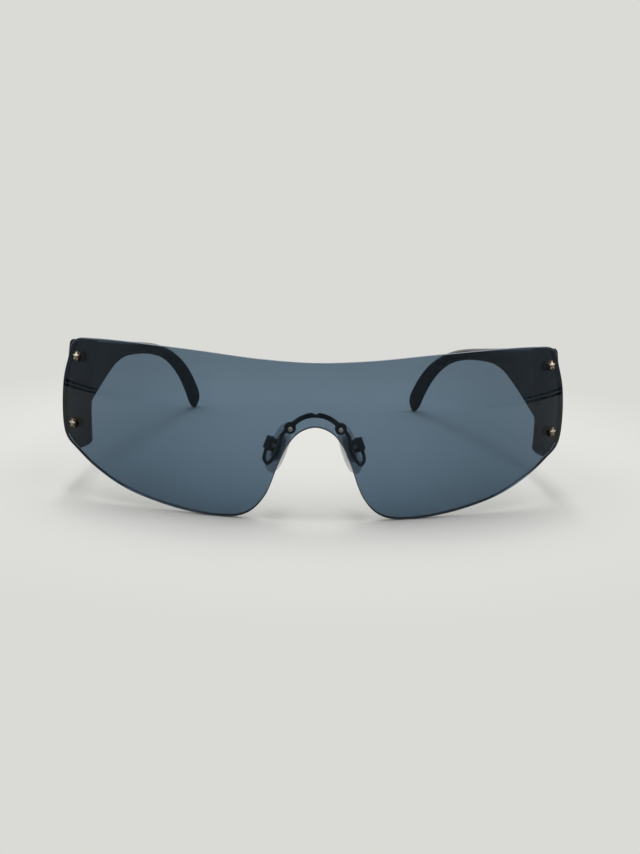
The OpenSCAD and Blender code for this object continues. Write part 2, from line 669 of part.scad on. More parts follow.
function wire_ring(path, i) =
    let(a = path[max(i - 1, 0)], b = path[min(i + 1, len(path) - 1)], along = (b - a) / norm(b - a),
        reach = box_screw - eyelet_middle, flat = [reach[1], -reach[0], 0] / norm([reach[0], reach[1]]),
        u = cross(along, flat) / norm(cross(along, flat)), v = cross(along, u))
    [for (j = [0 : wire_sides - 1])
        let(t = -360 * j / wire_sides) path[i] + wire_r * (cos(t) * u + sin(t) * v)];

module pad_arm(side) color([0.08, 0.08, 0.09]) centred() on_side(side)
    skin([for (i = [0 : len(arm_path) - 1]) wire_ring(arm_path, i)]);

shield_lens();
endpiece(1);  // endpiece_left
endpiece(-1);  // endpiece_right
star_screws();
star_sleeves();
star_nuts();
front_leaf(1);  // front_leaf_left
front_leaf(-1);  // front_leaf_right
hinge_screw(1);  // hinge_screw_left
hinge_screw(-1);  // hinge_screw_right
nose_bridge();
bridge_screws();
bridge_washers();
bridge_nuts();
pad_arm(1);  // pad_arm_left
pad_arm(-1);  // pad_arm_right
pad_box(1);  // pad_box_left
pad_box(-1);  // pad_box_right
pad_screw(1);  // pad_screw_left
pad_screw(-1);  // pad_screw_right
nose_pad(1);  // nose_pad_left
nose_pad(-1);  // nose_pad_right
pad_core(1);  // pad_core_left
pad_core(-1);  // pad_core_right
temple(1);  // temple_left
temple(-1);  // temple_right
temple_leaf(1);  // temple_leaf_left
temple_leaf(-1);  // temple_leaf_right
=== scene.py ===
"""Shield sunglasses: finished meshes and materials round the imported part."""

import json
import math

import bmesh
import bpy
import numpy as np
from bpy.props import FloatProperty, FloatVectorProperty, IntProperty, PointerProperty
from mathutils import Matrix, Vector
from mathutils.geometry import delaunay_2d_cdt


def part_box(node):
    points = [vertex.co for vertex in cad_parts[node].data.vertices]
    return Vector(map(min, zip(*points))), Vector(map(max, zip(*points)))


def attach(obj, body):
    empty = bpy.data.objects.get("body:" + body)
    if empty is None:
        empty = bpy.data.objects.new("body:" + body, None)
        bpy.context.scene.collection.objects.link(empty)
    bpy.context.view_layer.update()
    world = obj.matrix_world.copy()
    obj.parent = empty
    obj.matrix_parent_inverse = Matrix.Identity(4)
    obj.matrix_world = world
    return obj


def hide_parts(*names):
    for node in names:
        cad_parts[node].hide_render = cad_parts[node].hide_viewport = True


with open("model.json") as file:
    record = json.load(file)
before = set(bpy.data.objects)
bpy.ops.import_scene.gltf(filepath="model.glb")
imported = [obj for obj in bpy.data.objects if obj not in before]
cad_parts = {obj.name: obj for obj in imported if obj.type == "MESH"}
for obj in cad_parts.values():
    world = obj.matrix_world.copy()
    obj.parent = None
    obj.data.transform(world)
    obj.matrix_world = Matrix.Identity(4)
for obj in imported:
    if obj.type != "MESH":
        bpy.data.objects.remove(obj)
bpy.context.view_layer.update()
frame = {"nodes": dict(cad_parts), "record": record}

bl_info = {
    "name": "Shield sunglasses",
    "version": (1, 0, 0),
    "blender": (4, 5, 0),
    "location": "3D View > Sidebar > Glasses",
    "description": "Finished lens, temples, hinges and nose piece round the packed part",
    "category": "Object",
}

# Places are in metres, from the front of the lens's sphere back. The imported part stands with
# its middle over the origin, so placed() moves them.
LENS_LOW, LENS_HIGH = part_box("shield_lens")
FRONT_Y = LENS_LOW.y

# Half of the lens's outline, from the top of the brow to the top of the nose notch,
# as shares of half its width and of its height
LENS_SHARES = [
    (0, 0.952), (0.2, 0.963), (0.465, 0.991), (0.72, 1), (0.873, 0.988), (0.938, 0.971),
    (0.96, 0.94), (0.976, 0.855), (0.994, 0.735), (1, 0.6), (0.997, 0.46), (0.988, 0.385),
    (0.972, 0.34), (0.935, 0.292), (0.868, 0.212), (0.75, 0.113), (0.62, 0.052), (0.47, 0.01),
    (0.366, 0), (0.29, 0.012), (0.238, 0.054), (0.186, 0.155), (0.139, 0.348), (0.103, 0.468),
    (0.06, 0.543), (0, 0.5745)]
# How a temple narrows behind the hinge: share of its length, then share of the way from its
# waist to its front
TEMPLE_SHARES = [
    (-0.09, 1.03), (0, 1), (0.06, 0.904), (0.13, 0.72), (0.22, 0.469), (0.315, 0.213),
    (0.36, 0.125), (0.42, 0.054), (0.52, 0.012), (0.64, 0), (1, 0)]
# Where an arm passes on its way from the eyelet to the pad's screw, as shares of that way
ARM_SHARES = [(0.45, 0.05, 0.38), (0.53, 0.2, 0.79), (0.65, 0.35, 1.18), (0.96, 0.55, 1.63),
              (1.2, 0.73, 1.84), (1.38, 0.88, 1.64)]

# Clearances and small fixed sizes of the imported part, in metres
SEAT_GAP = 0.00002  # between the lens and the seat of a star screw
BORE_PLAY = 0.00003  # round a screw, in its sleeve and nut
SLEEVE_OUT, SLEEVE_HOLE = 0.00035, 0.00038  # from a screw out to its sleeve's outside, to the lens
EYELET_HOLE = 0.00055  # radius of the lens's holes at the eyelets
HOLE_EDGE = 0.00005  # rounding of the lens's holes
PLATE, LET_IN = 0.0018, 0.00025  # thickness of an endpiece's plate, and how deep the nuts sit in it
NUT_R, NUT_H = 0.00145, 0.0011
WALL_INSET = 0.00035  # from the lens's widest point in to the plate's edge
# Pockets in a temple, from the hinge's middle: a flat one for the leaf, and a round one for the
# knuckles as its radius, low end and high end
LEAF_POCKET = ((-0.001, -0.001, -0.00502), (0.00082, 0.00512, 0.00502))
KNUCKLE_POCKET = (0.00145, -0.00517, 0.00562)


# ---------------------------------------------------------------- settings

def length(name, default, low, high, description):
    return FloatProperty(name=name, description=description, default=default, min=low, max=high,
                         subtype="DISTANCE", unit="LENGTH", precision=5)


def angle(name, degrees, description):
    return FloatProperty(name=name, description=description, default=math.radians(degrees),
                         subtype="ANGLE")


def number(name, default, description, **limits):
    return FloatProperty(name=name, description=description, default=default, **limits)


def colour(name, default, description):
    return FloatVectorProperty(name=name, description=description, default=default, size=3,
                               min=0, max=1, subtype="COLOR")


class LensSettings(bpy.types.PropertyGroup):
    width: length("Width", round(LENS_HIGH.x - LENS_LOW.x, 5), 0.13, 0.15,
                  "Width of the lens, edge to edge")
    height: length("Height", round(LENS_HIGH.z, 5), 0.04, 0.05,
                   "Height of the lens above the table")
    radius: length("Front radius", 0.092, 0.088, 0.1, "Radius of the lens's front sphere")
    centre: length("Sphere height", 0.026, 0.024, 0.028,
                   "Height of that sphere's middle above the table")
    thickness: length("Thickness", 0.002, 0.0016, 0.0024, "Thickness of the lens")
    edge: length("Edge rounding", 0.00022, 0.0001, 0.0006, "Rounding of the lens's cut edges")
    spacing: length("Mesh spacing", 0.0022, 0.001, 0.005,
                    "Spacing of the points of the lens's two faces")
    tint_high: colour("Tint at the brow", (0.162, 0.232, 0.305),
                      "Colour of light through the top of the lens")
    # Painted shade: the tint at the lobes is made deeper by the shade on the floor behind them
    tint_and_shade_low: colour("Tint at the lobes", (0.108, 0.166, 0.236),
                     "Colour of light through the bottom")
    # Painted shade round the lobes and painted light along the brow, on the lens's cut edge
    edge_shade_low: colour("Edge, low", (0.10, 0.075, 0.075), "Colour of the cut edge round the lobes")
    edge_light_high: colour("Edge, brow", (0.27, 0.30, 0.38), "Colour of the cut edge along the brow")


class TempleSettings(bpy.types.PropertyGroup):
    length: length("Length", 0.145, 0.138, 0.15,
                   "Length along the top edge, from the hinge to the tip")
    front_height: length("Front height", 0.0264, 0.024, 0.028, "Height at the hinge")
    drop: length("Drop", 0.0033, 0.002, 0.0045, "Drop of the top edge below the top of the lens")
    thickness: length("Thickness", 0.003, 0.0026, 0.0036, "Thickness at the hinge")
    tip_thickness: length("Tip thickness", 0.0029, 0.002, 0.0034, "Thickness at the tip")
    waist: length("Waist height", 0.0035, 0.003, 0.005, "Height of the slender middle")
    tip_height: length("Tip height", 0.0058, 0.004, 0.0065, "Height of the tip")
    bend_start: length("Bend start", 0.075, 0.065, 0.09,
                       "Distance along the top edge at which it bends down")
    bend: angle("Bend", 49, "Angle by which it bends down")
    toe: angle("Lean in", 7.4, "Angle by which it leans in at the hinge")
    bow: length("Bow radius", 0.646, 0.5, 0.9, "Radius of its bow, seen from above")
    crown: length("Crown radius", 0.09, 0.065, 0.13, "Radius of the crown of its tall front")
    edge: length("Edge rounding", 0.0011, 0.0006, 0.0013, "Rounding of its long edges")
    wall: length("Wall length", 0.0059, 0.0055, 0.009,
                 "Distance from the lens's rear edge to the hinge")
    overhang: length("Wall overhang", 0.0002, 0, 0.0008,
                     "How far the wall stands out past the plate")
    stations: IntProperty(name="Stations", description="Number of rings along a temple",
                          default=150, min=40)


class NoseSettings(bpy.types.PropertyGroup):
    eyelet_x: length("Eyelet distance", 0.0068, 0.006, 0.0075,
                     "Distance from the middle to an eyelet")
    eyelet_drop: length("Eyelet drop", 0.0005, 0, 0.001,
                        "Drop of the eyelets below the top of the notch")
    eyelet_r: length("Eyelet radius", 0.0016, 0.0013, 0.0018, "Radius of an eyelet")
    pad_length: length("Pad length", 0.0144, 0.013, 0.015, "Length of a pad")
    pad_width: length("Pad width", 0.0082, 0.007, 0.0085, "Width of a pad")
    pad_thickness: length("Pad thickness", 0.0028, 0.0024, 0.0032, "Thickness of a pad")
    pad_x: length("Pad distance", 0.0097, 0.0094, 0.0115,
                  "Distance from the middle to a pad's middle")
    pad_y: length("Pad setback", 0.0126, 0.012, 0.014,
                  "Distance from the lens's front to a pad's middle")
    pad_drop: length("Pad drop", 0.0074, 0.0065, 0.008, "Drop of a pad's middle below the eyelets")
    splay: angle("Splay", 30, "Angle at which the pads open towards the face")
    flare: angle("Flare", 20, "Angle at which the pads spread downwards")
    wire_r: length("Wire radius", 0.0005, 0.0004, 0.00055, "Radius of an arm's wire")


class FastenerSettings(bpy.types.PropertyGroup):
    seat_r: length("Seat radius", 0.0015, 0.0013, 0.0018, "Radius of the round seat under a star")
    seat_h: length("Seat height", 0.00055, 0.0003, 0.0007, "Height of that seat")
    star_r: length("Star radius", 0.0014, 0.0012, 0.0016, "Radius of a star's points")
    star_h: length("Star height", 0.0005, 0.0002, 0.0005, "Height of a star")
    screw_r: length("Screw radius", 0.0006, 0.0004, 0.0007, "Radius of a star screw")
    upper_in: length("Upper screw, from the side", 0.0046, 0.0038, 0.006,
                     "Distance in from the lens's edge")
    upper_drop: length("Upper screw, from the top", 0.0063, 0.0055, 0.009,
                       "Drop below the lens's top")
    lower_in: length("Lower screw, from the side", 0.0037, 0.0032, 0.005,
                     "Distance in from the lens's edge")
    pitch: length("Screw pitch", 0.0189, 0.015, 0.02,
                  "Distance from the upper screw to the lower one")


class FinishSettings(bpy.types.PropertyGroup):
    plastic: colour("Black plastic", (0.0045, 0.005, 0.0065),
                    "Colour of the temples and endpieces")
    metal: colour("Black metal", (0.0035, 0.0045, 0.007),
                  "Colour of the nose bridge, arms and boxes")
    gold: colour("Pale gold", (0.98, 0.975, 0.94), "Colour of the stars")
    # Gold of the seats, darkened as painted shade beside and under the stars
    seat_gold_and_shade: colour("Dark gold", (0.20, 0.15, 0.08), "Colour of the seats under the stars")
    steel: colour("Steel", (0.62, 0.62, 0.61), "Colour of the hinges and nuts")
    silicone: colour("Clear silicone", (0.93, 0.94, 0.95), "Colour of the pads' skins")
    core: colour("Pad core", (0.03, 0.03, 0.033), "Colour of the pads' cores")


class StageSettings(bpy.types.PropertyGroup):
    floor: colour("Floor", (0.701, 0.708, 0.672), "Colour of the floor and of the background")
    mirrored_floor: number("Mirrored floor", 0.35, "Share of the floor's tone in reflections",
                           min=0, max=1)
    table_reach: length("Table reach", 0.35, 0.2, 2,
                        "Distance at which the table ends in reflections")
    sky_high: number("Sky overhead", 1.03, "Level of the studio light overhead", min=0)
    sky: colour("Sky", (1.0, 0.985, 1.0), "Tinge of the studio light overhead")
    walls: colour("Walls", (0.15, 0.16, 0.178), "Light of the studio's walls, to the sides")
    walls_ahead: number("Walls ahead", 0.28, "Share of that light in front and behind",
                        min=0, max=1)
    sky_lean: number("Sky lean", 0.5, "How much more light comes from the front than from behind",
                     min=0, max=1)
    key: number("Key power", 2.8, "Power of the lamp overhead", min=0, subtype="POWER")
    key_size: length("Key width", 0.15, 0.05, 2, "Width of that lamp, from side to side")
    key_length: length("Key length", 1.0, 0.05, 2, "Length of that lamp, from front to back")
    focal_share: number("Focal share", 3.4884, "Focal length over the picture's width", min=1)
    distance: length("Camera distance", 0.6, 0.3, 2,
                     "Distance from the camera to the point it looks at")
    elevation: angle("Elevation", 10.91, "Height angle of the camera")
    turn: angle("Turn", 1.49, "Angle by which the glasses are turned in the picture")
    roll: angle("Roll", 1.36, "Roll of the camera")


class GlassesSettings(bpy.types.PropertyGroup):
    lens: PointerProperty(type=LensSettings)
    temple: PointerProperty(type=TempleSettings)
    nose: PointerProperty(type=NoseSettings)
    fastener: PointerProperty(type=FastenerSettings)
    finish: PointerProperty(type=FinishSettings)
    stage: PointerProperty(type=StageSettings)


# ---------------------------------------------------------------- curves and placing

def spline(points, steps):
    """Centripetal curve through all the points but the first and the last, which only guide it."""
    p = np.asarray(points, float)
    out = []
    for i in range(1, len(p) - 2):
        a, b, c, d = p[i - 1:i + 3]
        tb = math.sqrt(np.linalg.norm(b - a))
        tc = tb + math.sqrt(np.linalg.norm(c - b))
        td = tc + math.sqrt(np.linalg.norm(d - c))
        for j in range(steps):
            x = tb + j / steps * (tc - tb)
            ab = a + (b - a) * x / tb
            bc = b + (c - b) * (x - tb) / (tc - tb)
            cd = c + (d - c) * (x - tc) / (td - tc)
            abc = ab + (bc - ab) * x / tc
            bcd = bc + (cd - bc) * (x - tb) / (td - tb)
            out.append(abc + (bcd - abc) * (x - tb) / (tc - tb))
    out.append(p[-2])
    return np.array(out)


def table_value(table, x):
    """Value at x of a table of pairs, with rounded joints between its stretches."""
    i = 0
    while i < len(table) - 2 and x >= table[i + 1][0]:
        i += 1

    def slope(k):
        a, b = table[max(k - 1, 0)], table[min(k + 1, len(table) - 1)]
        return (b[1] - a[1]) / (b[0] - a[0])

    a, b = table[i], table[i + 1]
    w = b[0] - a[0]
    t = (x - a[0]) / w
    return ((1 + 2 * t) * (1 - t) ** 2 * a[1] + t * (1 - t) ** 2 * w * slope(i)
            + t * t * (3 - 2 * t) * b[1] + t * t * (t - 1) * w * slope(i + 1))


def ease(t):
    u = min(max(t, 0.0), 1.0)
    return u * u * (3 - 2 * u)


def placed(points):
    """Points of the glasses, measured from the front of the lens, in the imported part's frame."""
    p = np.array(points, float)
    p[:, 1] += FRONT_Y
    return p


def mirrored(points):
    p = np.array(points, float)
    p[:, 0] *= -1
    return p


def turned(a):
    return np.array([[math.cos(a), -math.sin(a), 0], [math.sin(a), math.cos(a), 0], [0, 0, 1]])


# ---------------------------------------------------------------- meshes

def mesh_from(name, points, faces):
    mesh = bpy.data.meshes.new(name)
    mesh.from_pydata([tuple(p) for p in points], [], [tuple(f) for f in faces])
    work = bmesh.new()
    work.from_mesh(mesh)
    bmesh.ops.recalc_face_normals(work, faces=work.faces)
    work.to_mesh(mesh)
    work.free()
    mesh.update()
    return mesh


def smooth_by_angle(mesh, degrees):
    mesh.shade_smooth()
    mesh.set_sharp_from_angle(angle=math.radians(degrees))


def modified(mesh, kind, **settings):
    """The mesh after a modifier of that kind."""
    body = bpy.data.objects.new("modified_body", mesh)
    bpy.context.scene.collection.objects.link(body)
    modifier = body.modifiers.new("change", kind)
    for key, value in settings.items():
        setattr(modifier, key, value)
    bpy.context.view_layer.update()
    seen = body.evaluated_get(bpy.context.evaluated_depsgraph_get())
    result = bpy.data.meshes.new_from_object(seen)
    bpy.data.objects.remove(body)
    return result


def settled(mesh, degrees, centre, nearly=0.985):
    """The mesh with normals weighted by area, and exact ones on surfaces round a centre: those
    are the faces whose normals point nearly to it or away from it."""
    smooth_by_angle(mesh, degrees)
    result = modified(mesh, "WEIGHTED_NORMAL", keep_sharp=True)
    normals = [corner.vector.copy() for corner in result.corner_normals]
    for face in result.polygons:
        for i in face.loop_indices:
            way = (result.vertices[result.loops[i].vertex_index].co - centre).normalized()
            along = way.dot(face.normal)
            if abs(along) > nearly:
                normals[i] = way if along > 0 else -way
    result.normals_split_custom_set(normals)
    return result


def skin(rings):
    """Points and faces of a skin through rings of equal counts of points, closed at both ends."""
    n = len(rings[0])
    points = np.concatenate(rings)
    faces = []
    for j in range(len(rings) - 1):
        for i in range(n):
            k = (i + 1) % n
            faces.append((j * n + i, j * n + k, (j + 1) * n + k, (j + 1) * n + i))
    faces.append(tuple(range(n)))
    faces.append(tuple(range((len(rings) - 1) * n, len(rings) * n)))
    return points, faces


def lathe(profile, sides):
    """Points and faces of a turned piece round +Z; a profile point at radius 0 closes an end."""
    points, rows, faces = [], [], []
    for r, z in profile:
        if r == 0:
            rows.append([len(points)] * sides)
            points.append((0, 0, z))
        else:
            rows.append(list(range(len(points), len(points) + sides)))
            turns = [2 * math.pi * i / sides for i in range(sides)]
            points += [(r * math.cos(a), r * math.sin(a), z) for a in turns]
    loops = list(zip(rows, rows[1:]))
    if profile[0][0] and profile[-1][0]:
        loops.append((rows[-1], rows[0]))
    for a, b in loops:
        for i in range(sides):
            k = (i + 1) % sides
            face = list(dict.fromkeys((a[i], a[k], b[k], b[i])))
            if len(face) > 2:
                faces.append(face)
    return np.array(points, float), faces


def rounded(profile, r, steps=3, most=0.45):
    """A profile with each of its inner corners rounded by r, but by no more than that share of
    its sides."""
    out = [profile[0]]
    for a, b, c in zip(profile, profile[1:], profile[2:]):
        a, b, c = Vector(a), Vector(b), Vector(c)
        u, v = a - b, c - b
        cut = min(r, u.length * most, v.length * most)
        start, end = b + u.normalized() * cut, b + v.normalized() * cut
        for i in range(steps + 1):
            t = i / steps
            out.append(tuple(start * (1 - t) ** 2 + b * 2 * t * (1 - t) + end * t * t))
    out.append(profile[-1])
    return out


def joined(parts):
    """One list of points and one of faces out of several."""
    points, faces = [], []
    for p, f in parts:
        base = len(points)
        points += [tuple(q) for q in p]
        faces += [tuple(base + i for i in face) for face in f]
    return np.array(points, float), faces


def moved(part, matrix):
    points, faces = part
    return np.array([tuple(matrix @ Vector(p)) for p in points], float), faces


def cut_mesh(mesh, cutter, operation="DIFFERENCE"):
    """The mesh after a Boolean with another mesh."""
    tool = bpy.data.objects.new("cut_tool", cutter)
    bpy.context.scene.collection.objects.link(tool)
    result = modified(mesh, "BOOLEAN", operation=operation, solver="EXACT", object=tool)
    bpy.data.objects.remove(tool)
    if not result.polygons:
        raise RuntimeError(f"nothing is left of {mesh.name}")
    return result


def cad_mesh(node, flat=1.0, merge=2e-6):
    """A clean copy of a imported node's mesh: merged points, and faces that are flat to within so
    many degrees in one piece."""
    mesh = frame["nodes"][node].data.copy()
    work = bmesh.new()
    work.from_mesh(mesh)
    bmesh.ops.remove_doubles(work, verts=work.verts, dist=merge)
    if flat:
        bmesh.ops.dissolve_limit(work, angle_limit=math.radians(flat), verts=work.verts,
                                 edges=work.edges, delimit={"NORMAL"})
    bmesh.ops.recalc_face_normals(work, faces=work.faces)
    work.to_mesh(mesh)
    work.free()
    mesh.materials.clear()
    return mesh


BODY_OF = {node: body for body, nodes in frame["record"]["behaviour"]["bodies"].items()
           for node in nodes}


def stand_for(name, mesh, settings, finishes, slot, *nodes, smooth=None):
    """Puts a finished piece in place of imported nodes, on the body that carries them."""
    if smooth:
        smooth_by_angle(mesh, smooth)
    piece = bpy.data.objects.new(name, mesh)
    bpy.context.scene.collection.objects.link(piece)
    mesh.name = name
    mesh.materials.clear()
    for material in finishes:
        mesh.materials.append(finish(material, settings))
    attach(piece, BODY_OF[nodes[0]])
    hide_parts(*nodes)


def refine(node, name, settings, material, slot, width, smooth=35, segments=2):
    """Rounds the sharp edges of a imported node's mesh, and lets it stand for the node."""
    mesh = modified(cad_mesh(node), "BEVEL", width=width, segments=segments, limit_method="ANGLE",
                    angle_limit=math.radians(30), use_clamp_overlap=True, miter_outer="MITER_ARC")
    stand_for(name, mesh, settings, (material,), slot, node, smooth=smooth)


# ---------------------------------------------------------------- materials

class Nodes:
    """A tree of shader nodes, with short ways to add and join them."""

    def __init__(self, tree):
        self.tree = tree
        tree.nodes.clear()

    def feed(self, node, inputs):
        """Links each named input to a socket, or sets its value."""
        for key, value in inputs.items():
            if isinstance(value, bpy.types.NodeSocket):
                self.tree.links.new(value, node.inputs[key])
            else:
                node.inputs[key].default_value = value
        return node

    def add(self, kind, inputs=None, **settings):
        node = self.tree.nodes.new("ShaderNode" + kind)
        node.location = (200 * len(self.tree.nodes), 0)
        for key, value in settings.items():
            setattr(node, key, value)
        return self.feed(node, inputs or {})

    def ramp(self, value, low, high, a=0.0, b=1.0, **settings):
        """Values from a to b, or colours, where the input goes from low to high."""
        if isinstance(a, tuple):
            return self.stops(value, [(low, a), (high, b)])
        ends = {"From Min": low, "From Max": high, "To Min": a, "To Max": b}
        return self.add("MapRange", {"Value": value, **ends}, **settings).outputs["Result"]

    def stops(self, value, colours):
        """A colour for each of several values, blended between them."""
        node = self.add("ValToRGB", {"Fac": value})
        stops = node.color_ramp.elements
        while len(stops) < len(colours):
            stops.new(1.0)
        for stop, (at, tone) in zip(stops, colours):
            stop.position = at
            stop.color = (*tone, 1)
        return node.outputs["Color"]

    def maths(self, kind, a, b=0.0):
        return self.add("Math", {0: a, 1: b}, operation=kind).outputs["Value"]

    def inverse(self, value):
        return self.maths("SUBTRACT", 1.0, value)

    def blend(self, share, a, b):
        """Colour a, and b where the share is 1."""
        return self.add("Mix", {"Factor": share, 6: a, 7: b}, data_type="RGBA").outputs[2]

    def mixed(self, share, a, b):
        """Shader a, and b where the share is 1."""
        return self.add("MixShader", {"Fac": share, 1: a, 2: b}).outputs["Shader"]

    def split(self, vector):
        """The X, Y and Z of a vector."""
        return self.add("SeparateXYZ", {"Vector": vector}).outputs

    def size(self, vector):
        return self.add("VectorMath", {0: vector}, operation="LENGTH").outputs["Value"]


class Finish(Nodes):
    """A Principled material with its noises, ramps and bump, all in the piece's own coordinates."""

    def __init__(self, name, shader):
        self.material = bpy.data.materials.new(name)
        self.material.use_nodes = True
        super().__init__(self.material.node_tree)
        self.shader = self.add("BsdfPrincipled", shader)
        self.out = self.add("OutputMaterial", {"Surface": self.shader.outputs["BSDF"]})
        self.place = self.add("TexCoord").outputs["Object"]

    def stretched(self, scale):
        """The piece's coordinates times a scale along each axis."""
        return self.add("Mapping", {"Vector": self.place, "Scale": scale}).outputs["Vector"]

    def noise(self, size, detail, roughness, stretch=None):
        """Noise whose marks are about that many metres across."""
        scale, where = 1 / size, self.place
        if stretch:
            scale, where = 1, self.stretched([s / size for s in stretch])
        return self.add("TexNoise", {"Scale": scale, "Detail": detail, "Roughness": roughness,
                                     "Vector": where}).outputs["Fac"]

    def edges(self, low=0.55, high=0.68):
        """How much an edge or corner is rubbed, in broken patches."""
        sharp = self.add("NewGeometry").outputs["Pointiness"]
        patches = self.ramp(self.noise(0.0015, 4, 0.6), 0.38, 0.62, 0.25, 1.0)
        return self.maths("MULTIPLY", self.ramp(sharp, low, high), patches)

    def tone(self, value):
        self.feed(self.shader, {"Base Color": value})

    def rough(self, value):
        self.feed(self.shader, {"Roughness": value})

    def rubbed(self, colour, worn_colour, rough, polish):
        """Colour and roughness, with the worn colour and a finer polish along the edges."""
        worn = self.edges()
        self.tone(self.blend(worn, colour, (*worn_colour, 1)))
        self.rough(self.maths("SUBTRACT", rough, self.maths("MULTIPLY", worn, polish)))

    def bump(self, value, depth):
        """One more layer of relief, that many metres deep."""
        inputs = {"Distance": depth, "Strength": 1.0, "Height": value}
        before = self.shader.inputs["Normal"].links
        if before:
            inputs["Normal"] = before[0].from_socket
        self.feed(self.shader, {"Normal": self.add("Bump", inputs).outputs["Normal"]})


def shades(base, low, high):
    """A darker and a lighter shade of a colour."""
    return tuple(c * low for c in base), tuple(min(c * high, 1) for c in base)


def worn_black(base):
    """A black that is rubbed a little paler."""
    return tuple(min(1.6 * c + 0.002, 1) for c in base)


def moulded_plastic(name, base, low=0.2, high=0.34):
    """Polished moulded plastic: a faint flow of shade, soft hairlines and a very fine ripple."""
    f = Finish(name, {"IOR": 1.49, "Specular IOR Level": 0.25, "Coat Weight": 0.08,
                      "Coat Roughness": 0.06})
    hairs = f.ramp(f.noise(0.0016, 6, 0.7, stretch=(1, 0.08, 1)), 0.62, 0.8, 0.0, 0.1)
    rough = f.maths("ADD", f.ramp(f.noise(0.006, 5, 0.6), 0.3, 0.7, low, high), hairs)
    f.rubbed(f.ramp(f.noise(0.012, 4, 0.55), 0.3, 0.7, *shades(base, 0.75, 1.35)),
             worn_black(base), rough, 0.08)
    f.bump(f.noise(0.0035, 3, 0.5), 0.00002)
    f.bump(f.noise(0.00035, 2, 0.5), 0.0000015)
    return f.material


def brushed_metal(name, base, low=0.18, high=0.34, stretch=(1, 1, 0.1), metallic=1.0):
    """Turned or rolled metal: fine lines along one way, and darker specks here and there."""
    f = Finish(name, {"Metallic": metallic})
    lines = f.noise(0.00018, 4, 0.6, stretch=stretch)
    f.rubbed(f.ramp(f.noise(0.0009, 5, 0.6), 0.3, 0.72, *shades(base, 0.72, 1.12)),
             tuple(min(1.25 * c + 0.02, 1) for c in base), f.ramp(lines, 0.3, 0.7, low, high), 0.1)
    f.bump(lines, 0.000002)
    return f.material


def painted_metal(name, base):
    """Black satin coating on metal: a fine orange peel, and a little rubbed sheen."""
    f = Finish(name, {"IOR": 1.55, "Specular IOR Level": 0.25, "Coat Weight": 0.08,
                      "Coat Roughness": 0.12})
    f.rubbed(f.ramp(f.noise(0.0016, 5, 0.62), 0.35, 0.75, *shades(base, 0.7, 1.7)),
             worn_black(base), f.ramp(f.noise(0.0008, 4, 0.6), 0.3, 0.7, 0.2, 0.36), 0.08)
    f.bump(f.noise(0.00025, 3, 0.5), 0.000003)
    return f.material


def clear_plastic(name, base, low, high, ior):
    """Clear moulded plastic or silicone with a soft haze."""
    f = Finish(name, {"Transmission Weight": 1.0, "IOR": ior})
    f.tone(f.ramp(f.noise(0.003, 3, 0.5), 0.3, 0.7, *shades(base, 0.93, 1.0)))
    f.rough(f.ramp(f.noise(0.0018, 4, 0.6), 0.3, 0.7, low, high))
    f.bump(f.noise(0.0016, 3, 0.5), 0.000008)
    return f.material


def tinted_lens(name, s):
    """Smoke-tinted polycarbonate with faint waves of flow. Its tint deepens downwards, and that is
    painted shade: the shade the lens casts on the floor behind its lower part. It also deepens to
    the sides, partly for the longer way through the glass there and partly as painted shade of the
    floor behind."""
    f = Finish(name, {"Transmission Weight": 1.0, "IOR": 1.585, "Specular IOR Level": 0.15})
    where = f.split(f.place)
    wave = f.ramp(f.noise(0.03, 2, 0.4), 0.3, 0.7, -0.0012, 0.0012)
    # Deeper low down: painted shade of the floor behind the lens. Deeper to the sides: partly the
    # longer way through the glass, partly painted shade.
    aside = f.ramp(f.maths("ABSOLUTE", where["X"]), 0.026, 0.05, 0.0, 0.35)
    high = f.ramp(f.maths("ADD", where["Z"], wave), 0.004, 0.037)
    tint = f.ramp(high, 0.0, 1.0, tuple(s.tint_and_shade_low), tuple(s.tint_high))
    f.tone(f.blend(aside, tint, (*(0.75 * c for c in s.tint_and_shade_low), 1)))
    f.rough(f.ramp(f.noise(0.004, 4, 0.6), 0.45, 0.8, 0.0, 0.02))
    f.bump(f.noise(0.05, 1, 0.4), 0.00001)
    return f.material


def lens_rim(name, s):
    """The lens's cut edge: polished, with fine lines of the cutter. Its colour holds painted light
    and shade: dark brown low down as painted shade, and paler at the brow as painted light from
    above."""
    f = Finish(name, {"Transmission Weight": 0.12, "IOR": 1.585, "Specular IOR Level": 0.5})
    wave = f.ramp(f.noise(0.004, 3, 0.5), 0.3, 0.7, -0.003, 0.003)
    high = f.ramp(f.maths("ADD", f.split(f.place)["Z"], wave), 0.022, 0.042)
    # Painted shade low down, turning to painted light at the brow
    shaded_and_lit_edge = f.ramp(high, 0.0, 1.0, tuple(s.edge_shade_low), tuple(s.edge_light_high))
    worn_colour = (*(min(1.3 * c, 1) for c in s.edge_light_high), 1)
    f.tone(f.blend(f.edges(0.56, 0.72), shaded_and_lit_edge, worn_colour))
    f.rough(f.ramp(f.noise(0.0005, 4, 0.6), 0.3, 0.7, 0.12, 0.28))
    f.bump(f.noise(0.0003, 3, 0.5), 0.000003)
    return f.material


